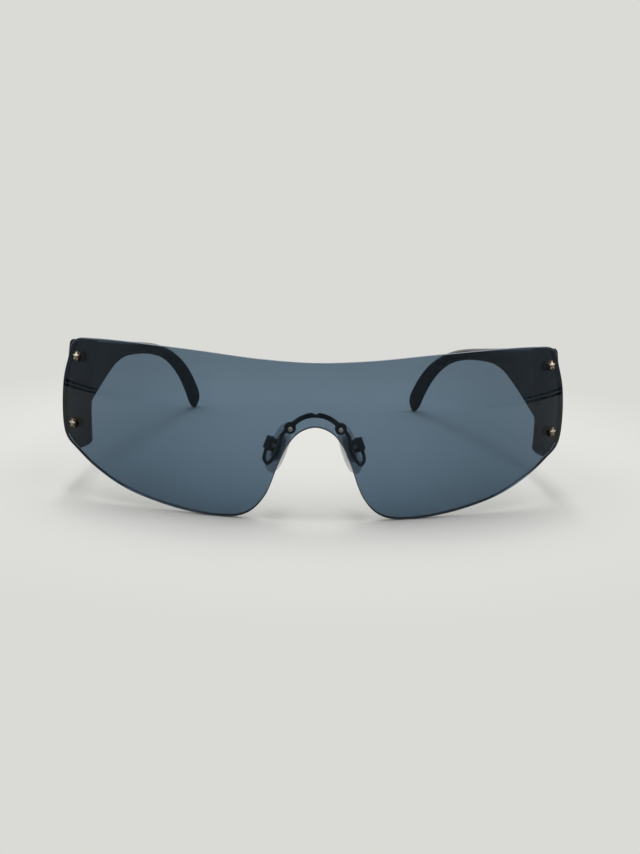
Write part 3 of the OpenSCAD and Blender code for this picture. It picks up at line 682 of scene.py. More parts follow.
# Each finish: its maker, the setting that holds its colour, and what else the maker is told
FINISHES = {
    "black_plastic": (moulded_plastic, "plastic", {}),
    "black_metal": (painted_metal, "metal", {}),
    # The seats' gold is darkened as painted shade under the stars
    "dark_gold": (brushed_metal, "seat_gold_and_shade", {"low": 0.25, "high": 0.42, "stretch": (1, 1, 1)}),
    "pale_gold": (brushed_metal, "gold", {"low": 0.28, "high": 0.42, "stretch": (1, 1, 1),
                                          "metallic": 0.65}),
    "steel": (brushed_metal, "steel", {}),
    "clear_silicone": (clear_plastic, "silicone", {"low": 0.08, "high": 0.2, "ior": 1.41}),
    "clear_sleeve": (clear_plastic, "silicone", {"low": 0.05, "high": 0.15, "ior": 1.5}),
    "pad_core": (moulded_plastic, "core", {"low": 0.3, "high": 0.45}),
}


def finish(name, settings):
    """The named material, made when it is first asked for.

    Open fault: black_plastic, black_metal, pale_gold, steel and clear_silicone are also names of
    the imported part's plain materials. Those are found here first, so these five are never made.
    """
    made = bpy.data.materials.get(name)
    if made:
        return made
    if name == "smoke_lens":
        return tinted_lens(name, settings.lens)
    if name == "lens_rim":
        return lens_rim(name, settings.lens)
    maker, colour_name, options = FINISHES[name]
    return maker(name, tuple(getattr(settings.finish, colour_name)), **options)


# ---------------------------------------------------------------- lens

def lens_outline(s, steps):
    """The lens's whole outline, seen from the front: x and z of its points."""
    half = [(a * s.width / 2, b * s.height) for a, b in LENS_SHARES]
    guide = [(-half[1][0], half[1][1])] + half + [(-half[-2][0], half[-2][1])]
    right = spline(guide, steps)
    left = right[-2:0:-1].copy()
    left[:, 0] *= -1
    return np.concatenate([right, left])


def on_sphere(s, xz, r):
    """Points of a sphere about the middle of the lens's front, from places seen from the front."""
    xz = np.asarray(xz, float).reshape(-1, 2)
    z = xz[:, 1] - s.centre
    return np.column_stack([xz[:, 0], -np.sqrt(r * r - xz[:, 0] ** 2 - z * z), z])


def directions(points):
    return points / np.linalg.norm(points, axis=1)[:, None]


def inside(polygon, points):
    """Which points lie inside a closed polygon."""
    hit = np.zeros(len(points), bool)
    for (xa, ya), (xb, yb) in zip(polygon, np.roll(polygon, -1, axis=0)):
        crosses = (ya > points[:, 1]) != (yb > points[:, 1])
        with np.errstate(divide="ignore", invalid="ignore"):
            hit ^= crosses & (points[:, 0] < (xb - xa) * (points[:, 1] - ya) / (yb - ya) + xa)
    return hit


def spread(dirs, r):
    """Flat coordinates of directions, for the triangles between them."""
    return np.column_stack([np.arctan2(dirs[:, 0], -dirs[:, 1]), np.arcsin(dirs[:, 2])]) * r


def shell_mesh(name, s, outer, inner, rims):
    """A piece of a spherical shell. Each rim is a list of (directions, radius, normals) rings from
    the outer face to the inner one; the first rim is the outline and the others are holes."""
    spacing, row_pitch, clear = s.spacing, 0.866, 0.45
    loops = [spread(rim[0][0], outer) for rim in rims]
    low, high = loops[0].min(0), loops[0].max(0)
    grid = np.array([(x, y) for j, y in enumerate(np.arange(low[1], high[1], spacing * row_pitch))
                     for x in np.arange(low[0] + (j % 2) * spacing / 2, high[0], spacing)])
    keep = inside(loops[0], grid)
    for k, loop in enumerate(loops):
        if k:
            keep &= ~inside(loop, grid)
        gap = np.min(np.linalg.norm(grid[:, None] - loop[None], axis=2), axis=1)
        keep &= gap > spacing * clear
    grid = grid[keep]
    flat = np.concatenate(loops + [grid])
    edges, base = [], 0
    for loop in loops:
        n = len(loop)
        edges += [(base + i, base + (i + 1) % n) for i in range(n)]
        base += n
    made = delaunay_2d_cdt([Vector(p) for p in flat], edges, [], 1, 1e-9)
    real = [o[0] for o in made[3]]
    faces = [tuple(real[i] for i in t) for t in made[2]]
    middles = np.array([flat[list(t)].mean(0) for t in faces])
    drop = ~inside(loops[0], middles)
    for loop in loops[1:]:
        drop |= inside(loop, middles)
    faces = [t for t, gone in zip(faces, drop) if not gone]
    across, up = grid[:, 0] / outer, grid[:, 1] / outer
    dirs = np.concatenate([rim[0][0] for rim in rims] + [np.column_stack([
        np.sin(across) * np.cos(up), -np.cos(across) * np.cos(up), np.sin(up)])])
    back = np.concatenate([rim[-1][0] for rim in rims] + [dirs[base:]])
    # The two faces of the shell first, then the rings of each rim and the strips between them
    count = len(dirs)
    points, normals = [dirs * outer, back * inner], [dirs, -back]
    faces += [tuple(count + i for i in t[::-1]) for t in faces]
    rim_start = len(faces)
    total, base = 2 * count, 0
    for rim in rims:
        n = len(rim[0][0])
        rows = [range(base, base + n)]
        for d, r, normal in rim[1:-1]:
            points.append(d * r)
            normals.append(normal)
            rows.append(range(total, total + n))
            total += n
        rows.append(range(count + base, count + base + n))
        for a, b in zip(rows, rows[1:]):
            faces += [(a[i], a[(i + 1) % n], b[(i + 1) % n], b[i]) for i in range(n)]
        base += n
    points = placed(np.concatenate(points) + np.array([0, s.radius, s.centre]))
    mesh = mesh_from(name, points, faces)
    mesh.shade_smooth()
    normals = directions(np.concatenate(normals))
    mesh.normals_split_custom_set_from_vertices([tuple(v) for v in normals])
    return mesh, rim_start


def outline_rim(s, xz, outer, inner, edge):
    """Rings round an outline: square to the sphere, with both edges rounded."""
    dirs = directions(on_sphere(s, xz, s.radius))
    along = directions(np.roll(dirs, -1, axis=0) - np.roll(dirs, 1, axis=0))
    out = directions(np.cross(along, dirs))
    x, y = spread(dirs, s.radius).T
    turning = np.sum(x * np.roll(y, -1) - np.roll(x, -1) * y)
    if turning < 0:
        out = -out

    def at(inset, r):
        return directions(dirs - out * inset / r)

    return rim_rings(at, dirs, out, outer, inner, edge, steps=3)


def rim_rings(at, dirs, out, outer, inner, edge, steps):
    """Rings from the outer face round a rim to the inner one; at() gives the directions of one."""
    rings = []
    for k in range(2 * steps + 2):
        front = k <= steps
        a = math.pi / 2 * (k if front else 2 * steps + 1 - k) / steps
        rounding = edge * (1 - math.cos(a))
        r = outer - rounding if front else inner + rounding
        axis = dirs * math.cos(a) * (1 if front else -1)
        rings.append((at(edge * (1 - math.sin(a)), r), r, axis + out * math.sin(a)))
    return rings


def screw_hole_rim(s, place, hole_r, outer, inner, edge, sides=40):
    """Rings round a hole that is square to the sphere."""
    n, u, v = (np.array(c) for c in lens_axes(s, *place))
    a = np.linspace(0, 2 * math.pi, sides, endpoint=False)[:, None]
    ring = np.cos(a) * u + np.sin(a) * v

    def at(inset, r):
        return directions(n + ring * (hole_r + inset) / r)

    return rim_rings(at, np.repeat(n[None], sides, axis=0), -ring, outer, inner, edge, steps=2)


def eyelet_hole_rim(s, x, z, hole_r, outer, inner, edge, sides=32):
    """Rings round a hole that runs straight back."""
    a = np.linspace(0, 2 * math.pi, sides, endpoint=False)
    ring = np.column_stack([np.cos(a), np.zeros(sides), np.sin(a)])

    def at(inset, r):
        xz = np.column_stack([x + (hole_r + inset) * np.cos(a), z + (hole_r + inset) * np.sin(a)])
        return directions(on_sphere(s, xz, r))

    dirs = directions(on_sphere(s, [(x, z)] * sides, outer))
    return rim_rings(at, dirs, -ring, outer, inner, edge, steps=2)


def lens_axes(s, x, z):
    """Normal of the lens's front at a place seen from the front, then the ways down and round."""
    p = on_sphere(s, [(x, z)], s.radius)[0] / s.radius
    polar, azimuth = math.acos(p[2]), math.atan2(p[1], p[0])
    cos, sin = math.cos(azimuth), math.sin(azimuth)
    down = (math.cos(polar) * cos, math.cos(polar) * sin, -math.sin(polar))
    return tuple(p), down, (-sin, cos, 0)


def frame_at(x, y, z, at):
    """Matrix whose columns are three axes and a place."""
    return Matrix((*zip(x, y, z, at), (0, 0, 0, 1)))


def on_lens(s, x, z):
    """Matrix that stands a piece on the lens's front, with +Z out along its normal."""
    n, u, v = (Vector(c) for c in lens_axes(s, x, z))
    at = n * s.radius + Vector((0, s.radius + FRONT_Y, s.centre))
    return frame_at(u, v, n, at)


def star_places(settings):
    s, f = settings.lens, settings.fastener
    z = s.height - f.upper_drop
    return [(side * x, h) for side in (-1, 1)
            for x, h in ((s.width / 2 - f.upper_in, z), (s.width / 2 - f.lower_in, z - f.pitch))]


def eyelet_height(settings):
    return LENS_SHARES[-1][1] * settings.lens.height - settings.nose.eyelet_drop


class GLASSES_OT_lens(bpy.types.Operator):
    """Make the wrapped lens with its notch, its polished edges and its holes"""
    bl_idname = "glasses.lens"
    bl_label = "Lens"

    def execute(self, context):
        settings = context.scene.glasses
        s = settings.lens
        outer, inner = s.radius, s.radius - s.thickness
        rims = [outline_rim(s, lens_outline(s, steps=10), outer, inner, s.edge)]
        hole_r = settings.fastener.screw_r + SLEEVE_HOLE
        rims += [screw_hole_rim(s, place, hole_r, outer, inner, HOLE_EDGE)
                 for place in star_places(settings)]
        rims += [eyelet_hole_rim(s, side * settings.nose.eyelet_x, eyelet_height(settings),
                                 EYELET_HOLE, outer, inner, HOLE_EDGE) for side in (-1, 1)]
        mesh, rim_start = shell_mesh("lens", s, outer, inner, rims)
        stand_for("lens", mesh, settings, ("smoke_lens", "lens_rim"), "lens_tint", "shield_lens")
        for face in mesh.polygons[rim_start:]:
            face.material_index = 1
        return {"FINISHED"}


# ---------------------------------------------------------------- temples and endpieces

class TempleShape:
    """The temple's skin, in the frame of the hinge: +X out, +Y back along the temple."""

    path_steps = 160
    quarter_steps = 6  # of each rounded corner of a ring
    first_ring = -8  # the rings start a little ahead of the hinge, to be cut off there
    cap_share, cap_rings, cap_spread = 1.9, 17, 16.4  # length and rings of the rounded end
    cap_sink = 0.3  # how far the end's middle sinks below the tip's
    # Shares of the length: where the tip starts to grow and its edges to round off, and over how
    # much of it they do, and how far back the crown reaches
    tip_from, tip_over = 0.68, 0.32
    soft_from, soft_over = 0.55, 0.35
    crown_over = 0.42

    def __init__(self, settings):
        s, t = settings.lens, settings.temple
        self.s, self.t = s, t
        self.top = s.height - t.drop
        self.cap = t.tip_height / 2
        self.step = t.length / self.path_steps
        self.path = [np.zeros(2)]
        for i in range(self.path_steps):
            a = self.turn((i + 0.5) * self.step)
            self.path.append(self.path[-1] + self.step * np.array([math.cos(a), -math.sin(a)]))
        a = self.turn(t.length)
        inwards = np.array([math.sin(a), math.cos(a)])
        tip = self.edge(t.length - self.cap) - t.tip_height / 2 * inwards
        self.slope = (math.asin((self.top - self.cap) / np.linalg.norm(tip))
                      - math.atan2(-tip[1], tip[0]))
        wall_x = s.width / 2 - WALL_INSET + t.overhang
        outline = lens_outline(s, steps=4)
        rear = max(s.radius + on_sphere(s, outline, s.radius - s.thickness)[:, 1])
        self.hinge = np.array([wall_x - t.wall * math.sin(t.toe) - t.thickness * math.cos(t.toe),
                               rear + t.wall * math.cos(t.toe) - t.thickness * math.sin(t.toe), 0])

    def turn(self, u):
        t = self.t
        return t.bend * (max(u - t.bend_start, 0) / (t.length - t.bend_start)) ** 2

    def edge(self, u):
        if u <= 0:
            return np.array([u, 0.0])
        i = min(int(u / self.step), len(self.path) - 2)
        return self.path[i] + (self.path[i + 1] - self.path[i]) * (u / self.step - i)

    def ring(self, u, k=1.0):
        """Ring at a distance along the top edge, shrunk by k and then sunk a little."""
        t = self.t
        share = u / t.length
        narrow = table_value(TEMPLE_SHARES, max(share, TEMPLE_SHARES[0][0]))
        h = (t.waist + (t.front_height - t.waist) * narrow
             + (t.tip_height - t.waist) * ease((share - self.tip_from) / self.tip_over))
        w = t.thickness + (t.tip_thickness - t.thickness) * ease(share)
        soft = t.edge + (w / 2 - t.edge) * ease((share - self.soft_from) / self.soft_over)
        r = min(soft, h / 2, w / 2)
        sink = self.cap_sink * (1 - k) * h / 2
        a = self.turn(u)
        axis = np.array([math.sin(a), math.cos(a)])
        middle = self.edge(u) - h / 2 * axis
        along, rise = math.cos(self.slope), math.sin(self.slope)
        out = []
        for quarter in range(4):
            for i in range(self.quarter_steps + 1):
                a = math.pi / 2 * (quarter + i / self.quarter_steps)
                upper, outer = quarter in (0, 3), quarter < 2
                up = k * ((1 if upper else -1) * (h / 2 - r) + r * math.cos(a)) - sink
                side = k * ((1 if outer else -1) * (w / 2 - r) + r * math.sin(a))
                p = middle + up * axis
                y = along * p[0] + rise * p[1]
                z = self.top + along * p[1] - rise * p[0]
                bow = 0 if y < 0 else t.bow - math.sqrt(t.bow * t.bow - y * y)
                fade = 1 - ease(y / (t.length * self.crown_over))
                crown = (z - self.s.centre) ** 2 / (2 * t.crown) * fade
                out.append((side + w / 2 - bow - crown, y, z))
        return np.array(out)

    def rings(self):
        """All the rings, from ahead of the hinge to the tip, with the tip on the table."""
        t = self.t
        cap = self.cap_share * self.cap
        body = t.length - cap
        rings = [self.ring(i / t.stations * body) for i in range(self.first_ring, t.stations)]
        for i in range(self.cap_rings):
            a = math.pi / 2 * i / self.cap_spread
            rings.append(self.ring(body + cap * math.sin(a), math.cos(a)))
        lift = -min(ring[:, 2].min() for ring in rings)
        for ring in rings:
            ring[:, 2] += lift
        return rings

    def to_glasses(self, points, side):
        p = np.asarray(points, float) @ turned(self.t.toe).T + self.hinge
        if side < 0:
            p = mirrored(p)
        return placed(p)


def box_part(low, high):
    x, y, z = zip(low, high)
    points = [(x[i], y[j], z[k]) for i in (0, 1) for j in (0, 1) for k in (0, 1)]
    return points, [(0, 1, 3, 2), (4, 6, 7, 5), (0, 4, 5, 1), (2, 3, 7, 6), (0, 2, 6, 4),
                    (1, 5, 7, 3)]


class GLASSES_OT_temples(bpy.types.Operator):
    """Make the two temples, with the pockets for their halves of the hinges"""
    bl_idname = "glasses.temples"
    bl_label = "Temples"

    def execute(self, context):
        settings = context.scene.glasses
        shape = TempleShape(settings)
        rings = shape.rings()
        leaf_low, leaf_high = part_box("front_leaf_left")
        at_hinge = Matrix.Translation((0, 0, (leaf_low.z + leaf_high.z) / 2))
        knuckle_r, low, high = KNUCKLE_POCKET
        knuckles = lathe([(0, low), (knuckle_r, low), (knuckle_r, high), (0, high)], sides=64)
        pockets = [moved(box_part(*LEAF_POCKET), at_hinge),
                   moved(knuckles, at_hinge @ Matrix.Translation((-knuckle_r, 0, 0)))]
        for side, name in ((1, "temple_left"), (-1, "temple_right")):
            mesh = mesh_from(name, *skin(rings))
            self.cut_front(mesh)
            for pocket in pockets:
                mesh = cut_mesh(mesh, mesh_from("pocket", *pocket))
            points = np.array([v.co for v in mesh.vertices])
            for vertex, p in zip(mesh.vertices, shape.to_glasses(points, side)):
                vertex.co = p
            if side < 0:
                mesh.flip_normals()
            mesh.update()
            stand_for(name + "_arm", mesh, settings, ("black_plastic",), "black_plastic", name,
                      smooth=32)
        return {"FINISHED"}

    @staticmethod
    def cut_front(mesh, y=0.00005, rounding=0.00018, nearly=1e-7):
        """Cuts the skin off square just behind the hinge's line, and rounds that edge."""
        work = bmesh.new()
        work.from_mesh(mesh)
        cut = bmesh.ops.bisect_plane(work, geom=work.verts[:] + work.edges[:] + work.faces[:],
                                     plane_co=(0, y, 0), plane_no=(0, -1, 0), clear_outer=True)
        rim = [e for e in cut["geom_cut"] if isinstance(e, bmesh.types.BMEdge)]
        bmesh.ops.contextual_create(work, geom=rim)
        rim = [e for e in work.edges if all(abs(v.co.y - y) < nearly for v in e.verts)]
        bmesh.ops.bevel(work, geom=rim, offset=rounding, segments=3, affect="EDGES", profile=0.6)
        bmesh.ops.recalc_face_normals(work, faces=work.faces)
        work.to_mesh(mesh)
        work.free()


class GLASSES_OT_endpieces(bpy.types.Operator):
    """Finish the two endpieces behind the ends of the lens"""
    bl_idname = "glasses.endpieces"
    bl_label = "Endpieces"

    def execute(self, context):
        settings = context.scene.glasses
        s = settings.lens
        for node in ("endpiece_left", "endpiece_right"):
            mesh = settled(cad_mesh(node, flat=0), 30, Vector((0, FRONT_Y + s.radius, s.centre)))
            stand_for(node + "_wall", mesh, settings, ("black_plastic",), "black_plastic", node)
        return {"FINISHED"}


class GLASSES_OT_hinges(bpy.types.Operator):
    """Finish the leaves and screws of the two hinges"""
    bl_idname = "glasses.hinges"
    bl_label = "Hinges"

    def execute(self, context):
        settings = context.scene.glasses
        for side in ("left", "right"):
            for node, name, width in (("front_leaf_", "hinge_front_", 0.00006),
                                      ("temple_leaf_", "hinge_rear_", 0.00006),
                                      ("hinge_screw_", "hinge_pin_", 0.00004)):
                refine(node + side, name + side, settings, "steel", "steel", width)
        return {"FINISHED"}


# ---------------------------------------------------------------- fasteners

def star_part(r, inner, low, high, tip, arms=5, taper=0.97, shoulder=0.8, climb=0.35):
    """A raised star: its facets climb from its outline to its middle, with one arm upwards. The
    tips and the shoulder are those shares of its outline, and the shoulder is that share up."""
    n = 2 * arms
    outline = []
    for i in range(n):
        a = math.pi + math.pi * i / arms
        q = r if i % 2 == 0 else inner
        outline.append((q * math.cos(a), q * math.sin(a)))
    levels = ((1, low), (taper, tip), (shoulder, tip + (high - tip) * climb))
    verts = [(x * share, y * share, z) for share, z in levels for x, y in outline]
    verts += [(0, 0, high)]
    faces = [tuple(range(n))[::-1]]
    for i in range(n):
        k = (i + 1) % n
        faces += [(i, k, n + k, n + i), (n + i, n + k, 2 * n + k, 2 * n + i),
                  (2 * n + i, 2 * n + k, 3 * n)]
    return np.array(verts, float), faces


class GLASSES_OT_star_screws(bpy.types.Operator):
    """Make the four star screws with their sleeves and nuts"""
    bl_idname = "glasses.star_screws"
    bl_label = "Star screws"

    def execute(self, context):
        settings = context.scene.glasses
        s, f = settings.lens, settings.fastener
        nut_back = -s.thickness - PLATE + LET_IN - NUT_H
        rounding, sleeve_rounding, dish = 0.00012, 0.00004, 0.0001
        into_seat, star_sunk = 0.0001, 0.00012
        lip, dish_share = 0.84, 0.8  # shares of the seat's radius at which its dish begins and ends
        waist, tip_share = 0.52, 0.2  # share of a star's radius between arms, of its height at tips
        top = SEAT_GAP + f.seat_h
        seat = rounded([(0, SEAT_GAP), (f.seat_r, SEAT_GAP), (f.seat_r, top),
                        (f.seat_r * lip, top), (f.seat_r * dish_share, top - dish),
                        (0, top - dish)], rounding)
        low, high = nut_back - LET_IN, SEAT_GAP + into_seat
        shank = rounded([(0, low), (f.screw_r, low), (f.screw_r, high), (0, high)], rounding)
        bore, outside = f.screw_r + BORE_PLAY, f.screw_r + SLEEVE_OUT
        sleeve = rounded([(bore, 0), (outside, 0), (outside, -s.thickness), (bore, -s.thickness)],
                         sleeve_rounding)
        star = star_part(f.star_r, f.star_r * waist, top - star_sunk, top + f.star_h,
                         top + f.star_h * tip_share)
        nut, at_back = self.nut(bore, NUT_R, NUT_H), Matrix.Translation((0, 0, nut_back))
        places = [on_lens(s, *place) for place in star_places(settings)]
        seats = [moved(part, at) for at in places for part in (lathe(seat, 48), lathe(shank, 32))]
        seat_faces = sum(len(faces) for _, faces in seats)
        for name, parts, finishes, slot, node, smooth in (
                ("star_screw_set", seats + [moved(star, at) for at in places],
                 ("dark_gold", "pale_gold"), "pale_gold", "star_screws", 28),
                ("star_sleeve_set", [moved(lathe(sleeve, 40), at) for at in places],
                 ("clear_sleeve",), "clear_plastic", "star_sleeves", 40),
                ("star_nut_set", [moved(nut, at @ at_back) for at in places],
                 ("pale_gold",), "pale_gold", "star_nuts", 28)):
            mesh = mesh_from(name, *joined(parts))
            stand_for(name, mesh, settings, finishes, slot, node, smooth=smooth)
            if len(finishes) > 1:
                for face in mesh.polygons[seat_faces:]:
                    face.material_index = 1
        return {"FINISHED"}

    @staticmethod
    def nut(bore, r, h):
        """A six-sided nut with turned chamfers."""
        # The turned body is a little slimmer than the flats at its ends, wider than the corners
        # between them and half a step round, so it never just touches the prism
        sides, slimmer, wider, rise = 96, 0.98, 1.02, 0.58
        end, wide = slimmer * r * math.cos(math.pi / 6), wider * r
        chamfer = (wide - end) * rise
        body = lathe([(bore, 0), (end, 0), (wide, chamfer), (wide, h - chamfer), (end, h),
                      (bore, h)], sides)
        turned_body = mesh_from("turned", *moved(body, Matrix.Rotation(math.pi / sides, 4, "Z")))
        ends = [np.array([(r * math.cos(math.pi / 3 * i), r * math.sin(math.pi / 3 * i), z)
                          for i in range(6)]) for z in (-h, 2 * h)]
        prism = mesh_from("prism", *skin(ends))
        mesh = cut_mesh(turned_body, prism, "INTERSECT")
        return [tuple(v.co) for v in mesh.vertices], [tuple(p.vertices) for p in mesh.polygons]


class GLASSES_OT_nose_bridge(bpy.types.Operator):
    """Finish the nose bridge with its screws, washers and nuts"""
    bl_idname = "glasses.nose_bridge"
    bl_label = "Nose bridge"

    def execute(self, context):
        for node, name, material, slot, width in (
                ("nose_bridge", "bridge_arch", "black_metal", "black_metal", 0.00016),
                ("bridge_washers", "bridge_washer_set", "clear_sleeve", "clear_plastic", 0.00004),
                ("bridge_nuts", "bridge_nut_set", "black_metal", "black_metal", 0.00015),
                ("bridge_screws", "bridge_screw_set", "steel", "steel", 0.0001)):
            refine(node, name, context.scene.glasses, material, slot, width, smooth=40, segments=3)
        return {"FINISHED"}


# ---------------------------------------------------------------- nose pads

def pad_matrix(settings):
    """Matrix of the left pad's frame: +X out from the nose, +Y back across it, +Z up along it."""
    n = settings.nose
    at = Matrix.Translation((n.pad_x, n.pad_y, eyelet_height(settings) - n.pad_drop))
    return at @ Matrix.Rotation(-n.flare, 4, "Y") @ Matrix.Rotation(-n.splay, 4, "Z")


def power(x, n):
    """A sine or cosine, bent so that a circle becomes a rounded square."""
    return math.copysign(abs(x) ** (2 / n), x)


def pair(points):
    """The left piece's points and the right one's, each with its side's name."""
    return ("left", placed(points)), ("right", placed(mirrored(points)))


class GLASSES_OT_nose_pads(bpy.types.Operator):
    """Make the clear skins of the nose pads, round their cores"""
    bl_idname = "glasses.nose_pads"
    bl_label = "Nose pads"

    def execute(self, context):
        settings = context.scene.glasses
        points, faces = skin(self.rings(settings.nose))
        points, _ = moved((points, faces), pad_matrix(settings))
        for side, side_points in pair(points):
            mesh = mesh_from("pad_skin_" + side, side_points, faces)
            stand_for("pad_skin_" + side, mesh, settings, ("clear_silicone",), "clear_silicone",
                      "nose_pad_" + side, smooth=50)
            refine("pad_core_" + side, "pad_heart_" + side, settings, "pad_core", "core_plastic",
                   0.0001)
        return {"FINISHED"}

    @staticmethod
    def rings(n, levels=25, sides=72, last=88, roundness=2.4, squareness=2.5, taper=0.22):
        """Rings of a cushion that is a little narrower at its upper end, from face to face."""
        rings = []
        for j in range(levels):
            level = math.radians(last) * (2 * j / (levels - 1) - 1)
            k = power(math.cos(level), roundness)
            x = n.pad_thickness / 2 * power(math.sin(level), roundness)
            ring = []
            for i in range(sides):
                a = -2 * math.pi * i / sides
                up = power(math.sin(a), squareness)
                across = power(math.cos(a), squareness) * (1 - taper * (1 + up) / 2)
                ring.append((x, k * n.pad_width / 2 * across, k * n.pad_length / 2 * up))
            rings.append(np.array(ring))
        return rings


class GLASSES_OT_pad_arms(bpy.types.Operator):
    """Make the looped wires of the nose pads, and finish their boxes and screws"""
    bl_idname = "glasses.pad_arms"
    bl_label = "Pad arms and boxes"

    def execute(self, context):
        settings = context.scene.glasses
        points, faces = skin(self.wire(settings))
        for side, side_points in pair(points):
            mesh = mesh_from("pad_wire_" + side, side_points, faces)
            stand_for("pad_wire_" + side, mesh, settings, ("black_metal",), "black_metal",
                      "pad_arm_" + side, smooth=50)
            refine("pad_box_" + side, "pad_cheeks_" + side, settings, "black_metal", "black_metal",
                   0.00012)
            refine("pad_screw_" + side, "pad_pin_" + side, settings, "steel", "steel", 0.00008)
        return {"FINISHED"}

    @staticmethod
    def wire(settings, sides=20, leaving=55):
        """Rings of the left wire, from its eyelet round its loop and up into its box's foot."""
        n = settings.nose
        pad = pad_matrix(settings)
        low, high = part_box("nose_bridge")
        eyelet = np.array([n.eyelet_x, (low.y + high.y) / 2 - FRONT_Y, eyelet_height(settings)])
        # The pad's screw, out from the pad's middle and up from it, then what lies between it and
        # the wire in the box: the core's lug, the play beside it and the box's wall
        reach, lift, lug, play, wall, box_height = 0.00275, 0.0006, 0.0008, 0.0001, 0.0005, 0.0036
        eyelet_bite, box_gap = 0.0003, 0.00002
        screw = np.array(pad @ Vector((reach, 0, lift)))
        out = reach + lug + play + wall - n.wire_r
        a, way = math.radians(leaving), screw - eyelet
        start = np.array([math.sin(a), 0, -math.cos(a)])
        guides = [eyelet, eyelet + (n.eyelet_r - eyelet_bite) * start]
        guides += [eyelet + way * np.array(share) for share in ARM_SHARES]
        guides += [np.array(pad @ Vector((out, 0, lift + rise)))
                   for rise in (-box_height / 2 - box_gap, 0)]
        path = spline(guides, steps=10)
        flat = np.array([way[1], -way[0], 0]) / math.hypot(way[0], way[1])
        rings = []
        for i, p in enumerate(path):
            along = path[min(i + 1, len(path) - 1)] - path[max(i - 1, 0)]
            u = np.cross(along, flat)
            u /= np.linalg.norm(u)
            v = np.cross(along / np.linalg.norm(along), u)
            rings.append(np.array([p + n.wire_r * (math.cos(t) * u + math.sin(t) * v)
                                   for t in np.linspace(0, 2 * math.pi, sides, endpoint=False)]))
        return rings


# ---------------------------------------------------------------- stage

# Share of the way to a side between which the walls turn from dim to bright
WALLS_TURN = (0.75, 1.0)


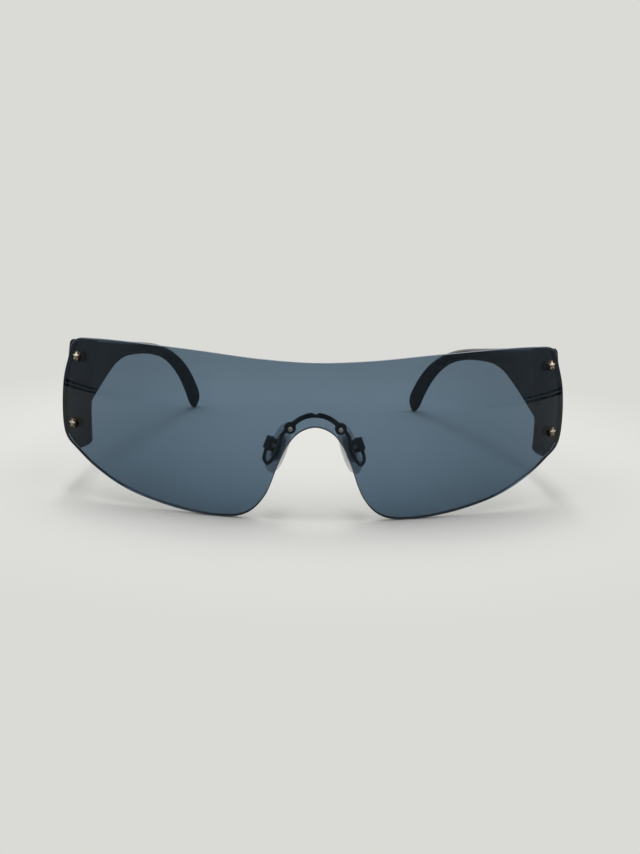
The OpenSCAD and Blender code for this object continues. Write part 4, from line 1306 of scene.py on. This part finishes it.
class GLASSES_OT_stage(bpy.types.Operator):
    """Set up the pale floor, the even studio light and the camera"""
    bl_idname = "glasses.stage"
    bl_label = "Stage"

    def execute(self, context):
        scene = context.scene
        s = scene.glasses.stage
        self.floor(s)
        self.world(scene, s)
        self.light(scene, s)
        self.camera(scene, s)
        scene.view_settings.view_transform = "Standard"
        return {"FINISHED"}

    @staticmethod
    def floor(s):
        n, half = 40, 30.0
        xs = [half * abs(t) ** 3 * (1 if t > 0 else -1) for t in np.linspace(-1, 1, n + 1)]
        points = [(x, y, 0) for y in xs for x in xs]
        row = n + 1
        faces = [(j * row + i, j * row + i + 1, (j + 1) * row + i + 1, (j + 1) * row + i)
                 for j in range(n) for i in range(n)]
        floor = bpy.data.objects.new("floor", mesh_from("floor", points, faces))
        bpy.context.scene.collection.objects.link(floor)
        f = Finish("floor_paper", {"Roughness": 0.9, "Specular IOR Level": 0.1})
        f.tone(f.ramp(f.noise(0.02, 3, 0.5), 0.3, 0.7, *shades(tuple(s.floor), 0.997, 1.003)))
        path = f.add("LightPath").outputs
        mirrored_ray = f.maths("MULTIPLY", path["Is Glossy Ray"],
                               f.inverse(path["Is Transmission Ray"]))
        # In the lens's reflections the paper is dimmer, with two dark lines near the table's end,
        # and beyond it come the walls, dimmer ahead than to the sides as in the world
        away = f.size(f.place)
        paper = tuple(c * s.mirrored_floor for c in s.floor)
        dark = (0, 0, 0)
        tone = f.stops(f.ramp(away, 0, 2 * s.table_reach), [
            (0.49, paper), (0.5, dark), (0.55, dark), (0.56, paper), (0.59, paper), (0.6, dark),
            (0.66, dark), (0.68, tuple(s.walls))])
        aside = f.maths("DIVIDE", f.maths("ABSOLUTE", f.split(f.place)["X"]), away)
        dimmed = f.ramp(aside, *WALLS_TURN, 1 - s.walls_ahead, 0.0)
        glow = f.add("Emission", {
            "Color": f.blend(mirrored_ray, (*s.floor, 1), tone),
            "Strength": f.inverse(f.maths("MULTIPLY", dimmed, mirrored_ray))})
        # Seen away from the glasses, past an oval of that half width and depth, it is an even tone
        clear_x, clear_y = 0.12, 0.15
        far = f.ramp(f.size(f.stretched((1 / clear_x, 1 / clear_y, 1))), 0.75, 1.25)
        seen = f.maths("MAXIMUM", path["Is Camera Ray"], path["Is Transmission Ray"])
        share = f.maths("MAXIMUM", f.maths("MULTIPLY", far, seen), mirrored_ray)
        paper_and_glow = f.mixed(share, f.shader.outputs["BSDF"], glow.outputs["Emission"])
        f.feed(f.out, {"Surface": paper_and_glow})
        floor.data.materials.append(f.material)

    @staticmethod
    def world(scene, s):
        world = bpy.data.worlds.new("studio")
        scene.world = world
        world.use_nodes = True
        n = Nodes(world.node_tree)

        def light(tone, strength=1.0):
            inputs = {"Color": (*tone, 1), "Strength": strength}
            return n.add("Background", inputs).outputs["Background"]

        way = n.split(n.add("TexCoord").outputs["Generated"])
        rise = n.ramp(way["Z"], 0.25, 0.85, interpolation_type="SMOOTHSTEP")
        lean = n.inverse(n.maths("MULTIPLY", way["Y"], s.sky_lean))
        above = light(s.sky, n.maths("MULTIPLY", n.maths("MULTIPLY", rise, lean), s.sky_high))
        walls = light(s.walls, n.ramp(n.maths("ABSOLUTE", way["X"]), *WALLS_TURN, s.walls_ahead))
        low = n.mixed(n.ramp(way["Y"], 0.35, 0.75), walls, light(s.floor))
        studio = n.add("AddShader", {0: above, 1: low}).outputs["Shader"]
        # The camera sees the floor's tone behind the floor's end, also through the lens
        path = n.add("LightPath").outputs
        seen = n.maths("MAXIMUM", path["Is Camera Ray"], path["Is Transmission Ray"])
        n.add("OutputWorld", {"Surface": n.mixed(seen, studio, light(s.floor))})

    @staticmethod
    def light(scene, s):
        lamp = bpy.data.lights.new("key", "AREA")
        lamp.shape = "RECTANGLE"
        lamp.size = s.key_size
        lamp.size_y = s.key_length
        lamp.energy = s.key
        key = bpy.data.objects.new("key", lamp)
        key.location = (-0.05, 0.1, 0.95)
        key.rotation_euler = (-math.atan2(key.location.y, key.location.z), 0, 0)
        scene.collection.objects.link(key)

    @staticmethod
    def camera(scene, s):
        turn, e, roll = s.turn, s.elevation, s.roll
        pivot, aim = Vector((0, 0.05, 0)), Vector((0.00245, 0, 0.02692))
        back = Matrix.Rotation(-turn, 3, "Z")
        ahead = Vector((0, math.cos(e), -math.sin(e)))
        eye = back @ (aim - s.distance * ahead - pivot) + pivot + Vector((0, FRONT_Y, 0))
        right, up = back @ Vector((1, 0, 0)), back @ Vector((0, math.sin(e), math.cos(e)))
        ahead = back @ ahead
        x = math.cos(roll) * right + math.sin(roll) * up
        y = math.cos(roll) * up - math.sin(roll) * right
        camera = bpy.data.objects.new("camera", bpy.data.cameras.new("camera"))
        lens = camera.data
        lens.sensor_fit = "HORIZONTAL"
        lens.sensor_width = 36
        lens.lens = lens.sensor_width * s.focal_share
        lens.clip_start, lens.clip_end = 0.01, 200
        camera.matrix_world = frame_at(x, y, -ahead, eye)
        scene.collection.objects.link(camera)
        scene.camera = camera


# ---------------------------------------------------------------- panel

OPERATORS = (GLASSES_OT_lens, GLASSES_OT_endpieces, GLASSES_OT_temples, GLASSES_OT_hinges,
             GLASSES_OT_star_screws, GLASSES_OT_nose_bridge, GLASSES_OT_nose_pads,
             GLASSES_OT_pad_arms, GLASSES_OT_stage)


class GLASSES_PT_panel(bpy.types.Panel):
    bl_idname = "GLASSES_PT_panel"
    bl_label = "Shield sunglasses"
    bl_space_type = "VIEW_3D"
    bl_region_type = "UI"
    bl_category = "Glasses"

    def draw(self, context):
        settings = context.scene.glasses
        for group in ("lens", "temple", "nose", "fastener", "finish", "stage"):
            box = self.layout.box()
            box.label(text=group.title())
            for name in getattr(settings, group).__annotations__:
                box.prop(getattr(settings, group), name)
        for operator in OPERATORS:
            self.layout.operator(operator.bl_idname)


CLASSES = (LensSettings, TempleSettings, NoseSettings, FastenerSettings, FinishSettings,
           StageSettings, GlassesSettings, *OPERATORS, GLASSES_PT_panel)


def register():
    for cls in CLASSES:
        bpy.utils.register_class(cls)
    bpy.types.Scene.glasses = PointerProperty(type=GlassesSettings)


def unregister():
    del bpy.types.Scene.glasses
    for cls in reversed(CLASSES):
        bpy.utils.unregister_class(cls)


def main():
    register()
    bpy.ops.glasses.lens()
    bpy.ops.glasses.endpieces()
    bpy.ops.glasses.temples()
    bpy.ops.glasses.hinges()
    bpy.ops.glasses.star_screws()
    bpy.ops.glasses.nose_bridge()
    bpy.ops.glasses.nose_pads()
    bpy.ops.glasses.pad_arms()
    bpy.ops.glasses.stage()


if __name__ == "__main__":
    main()
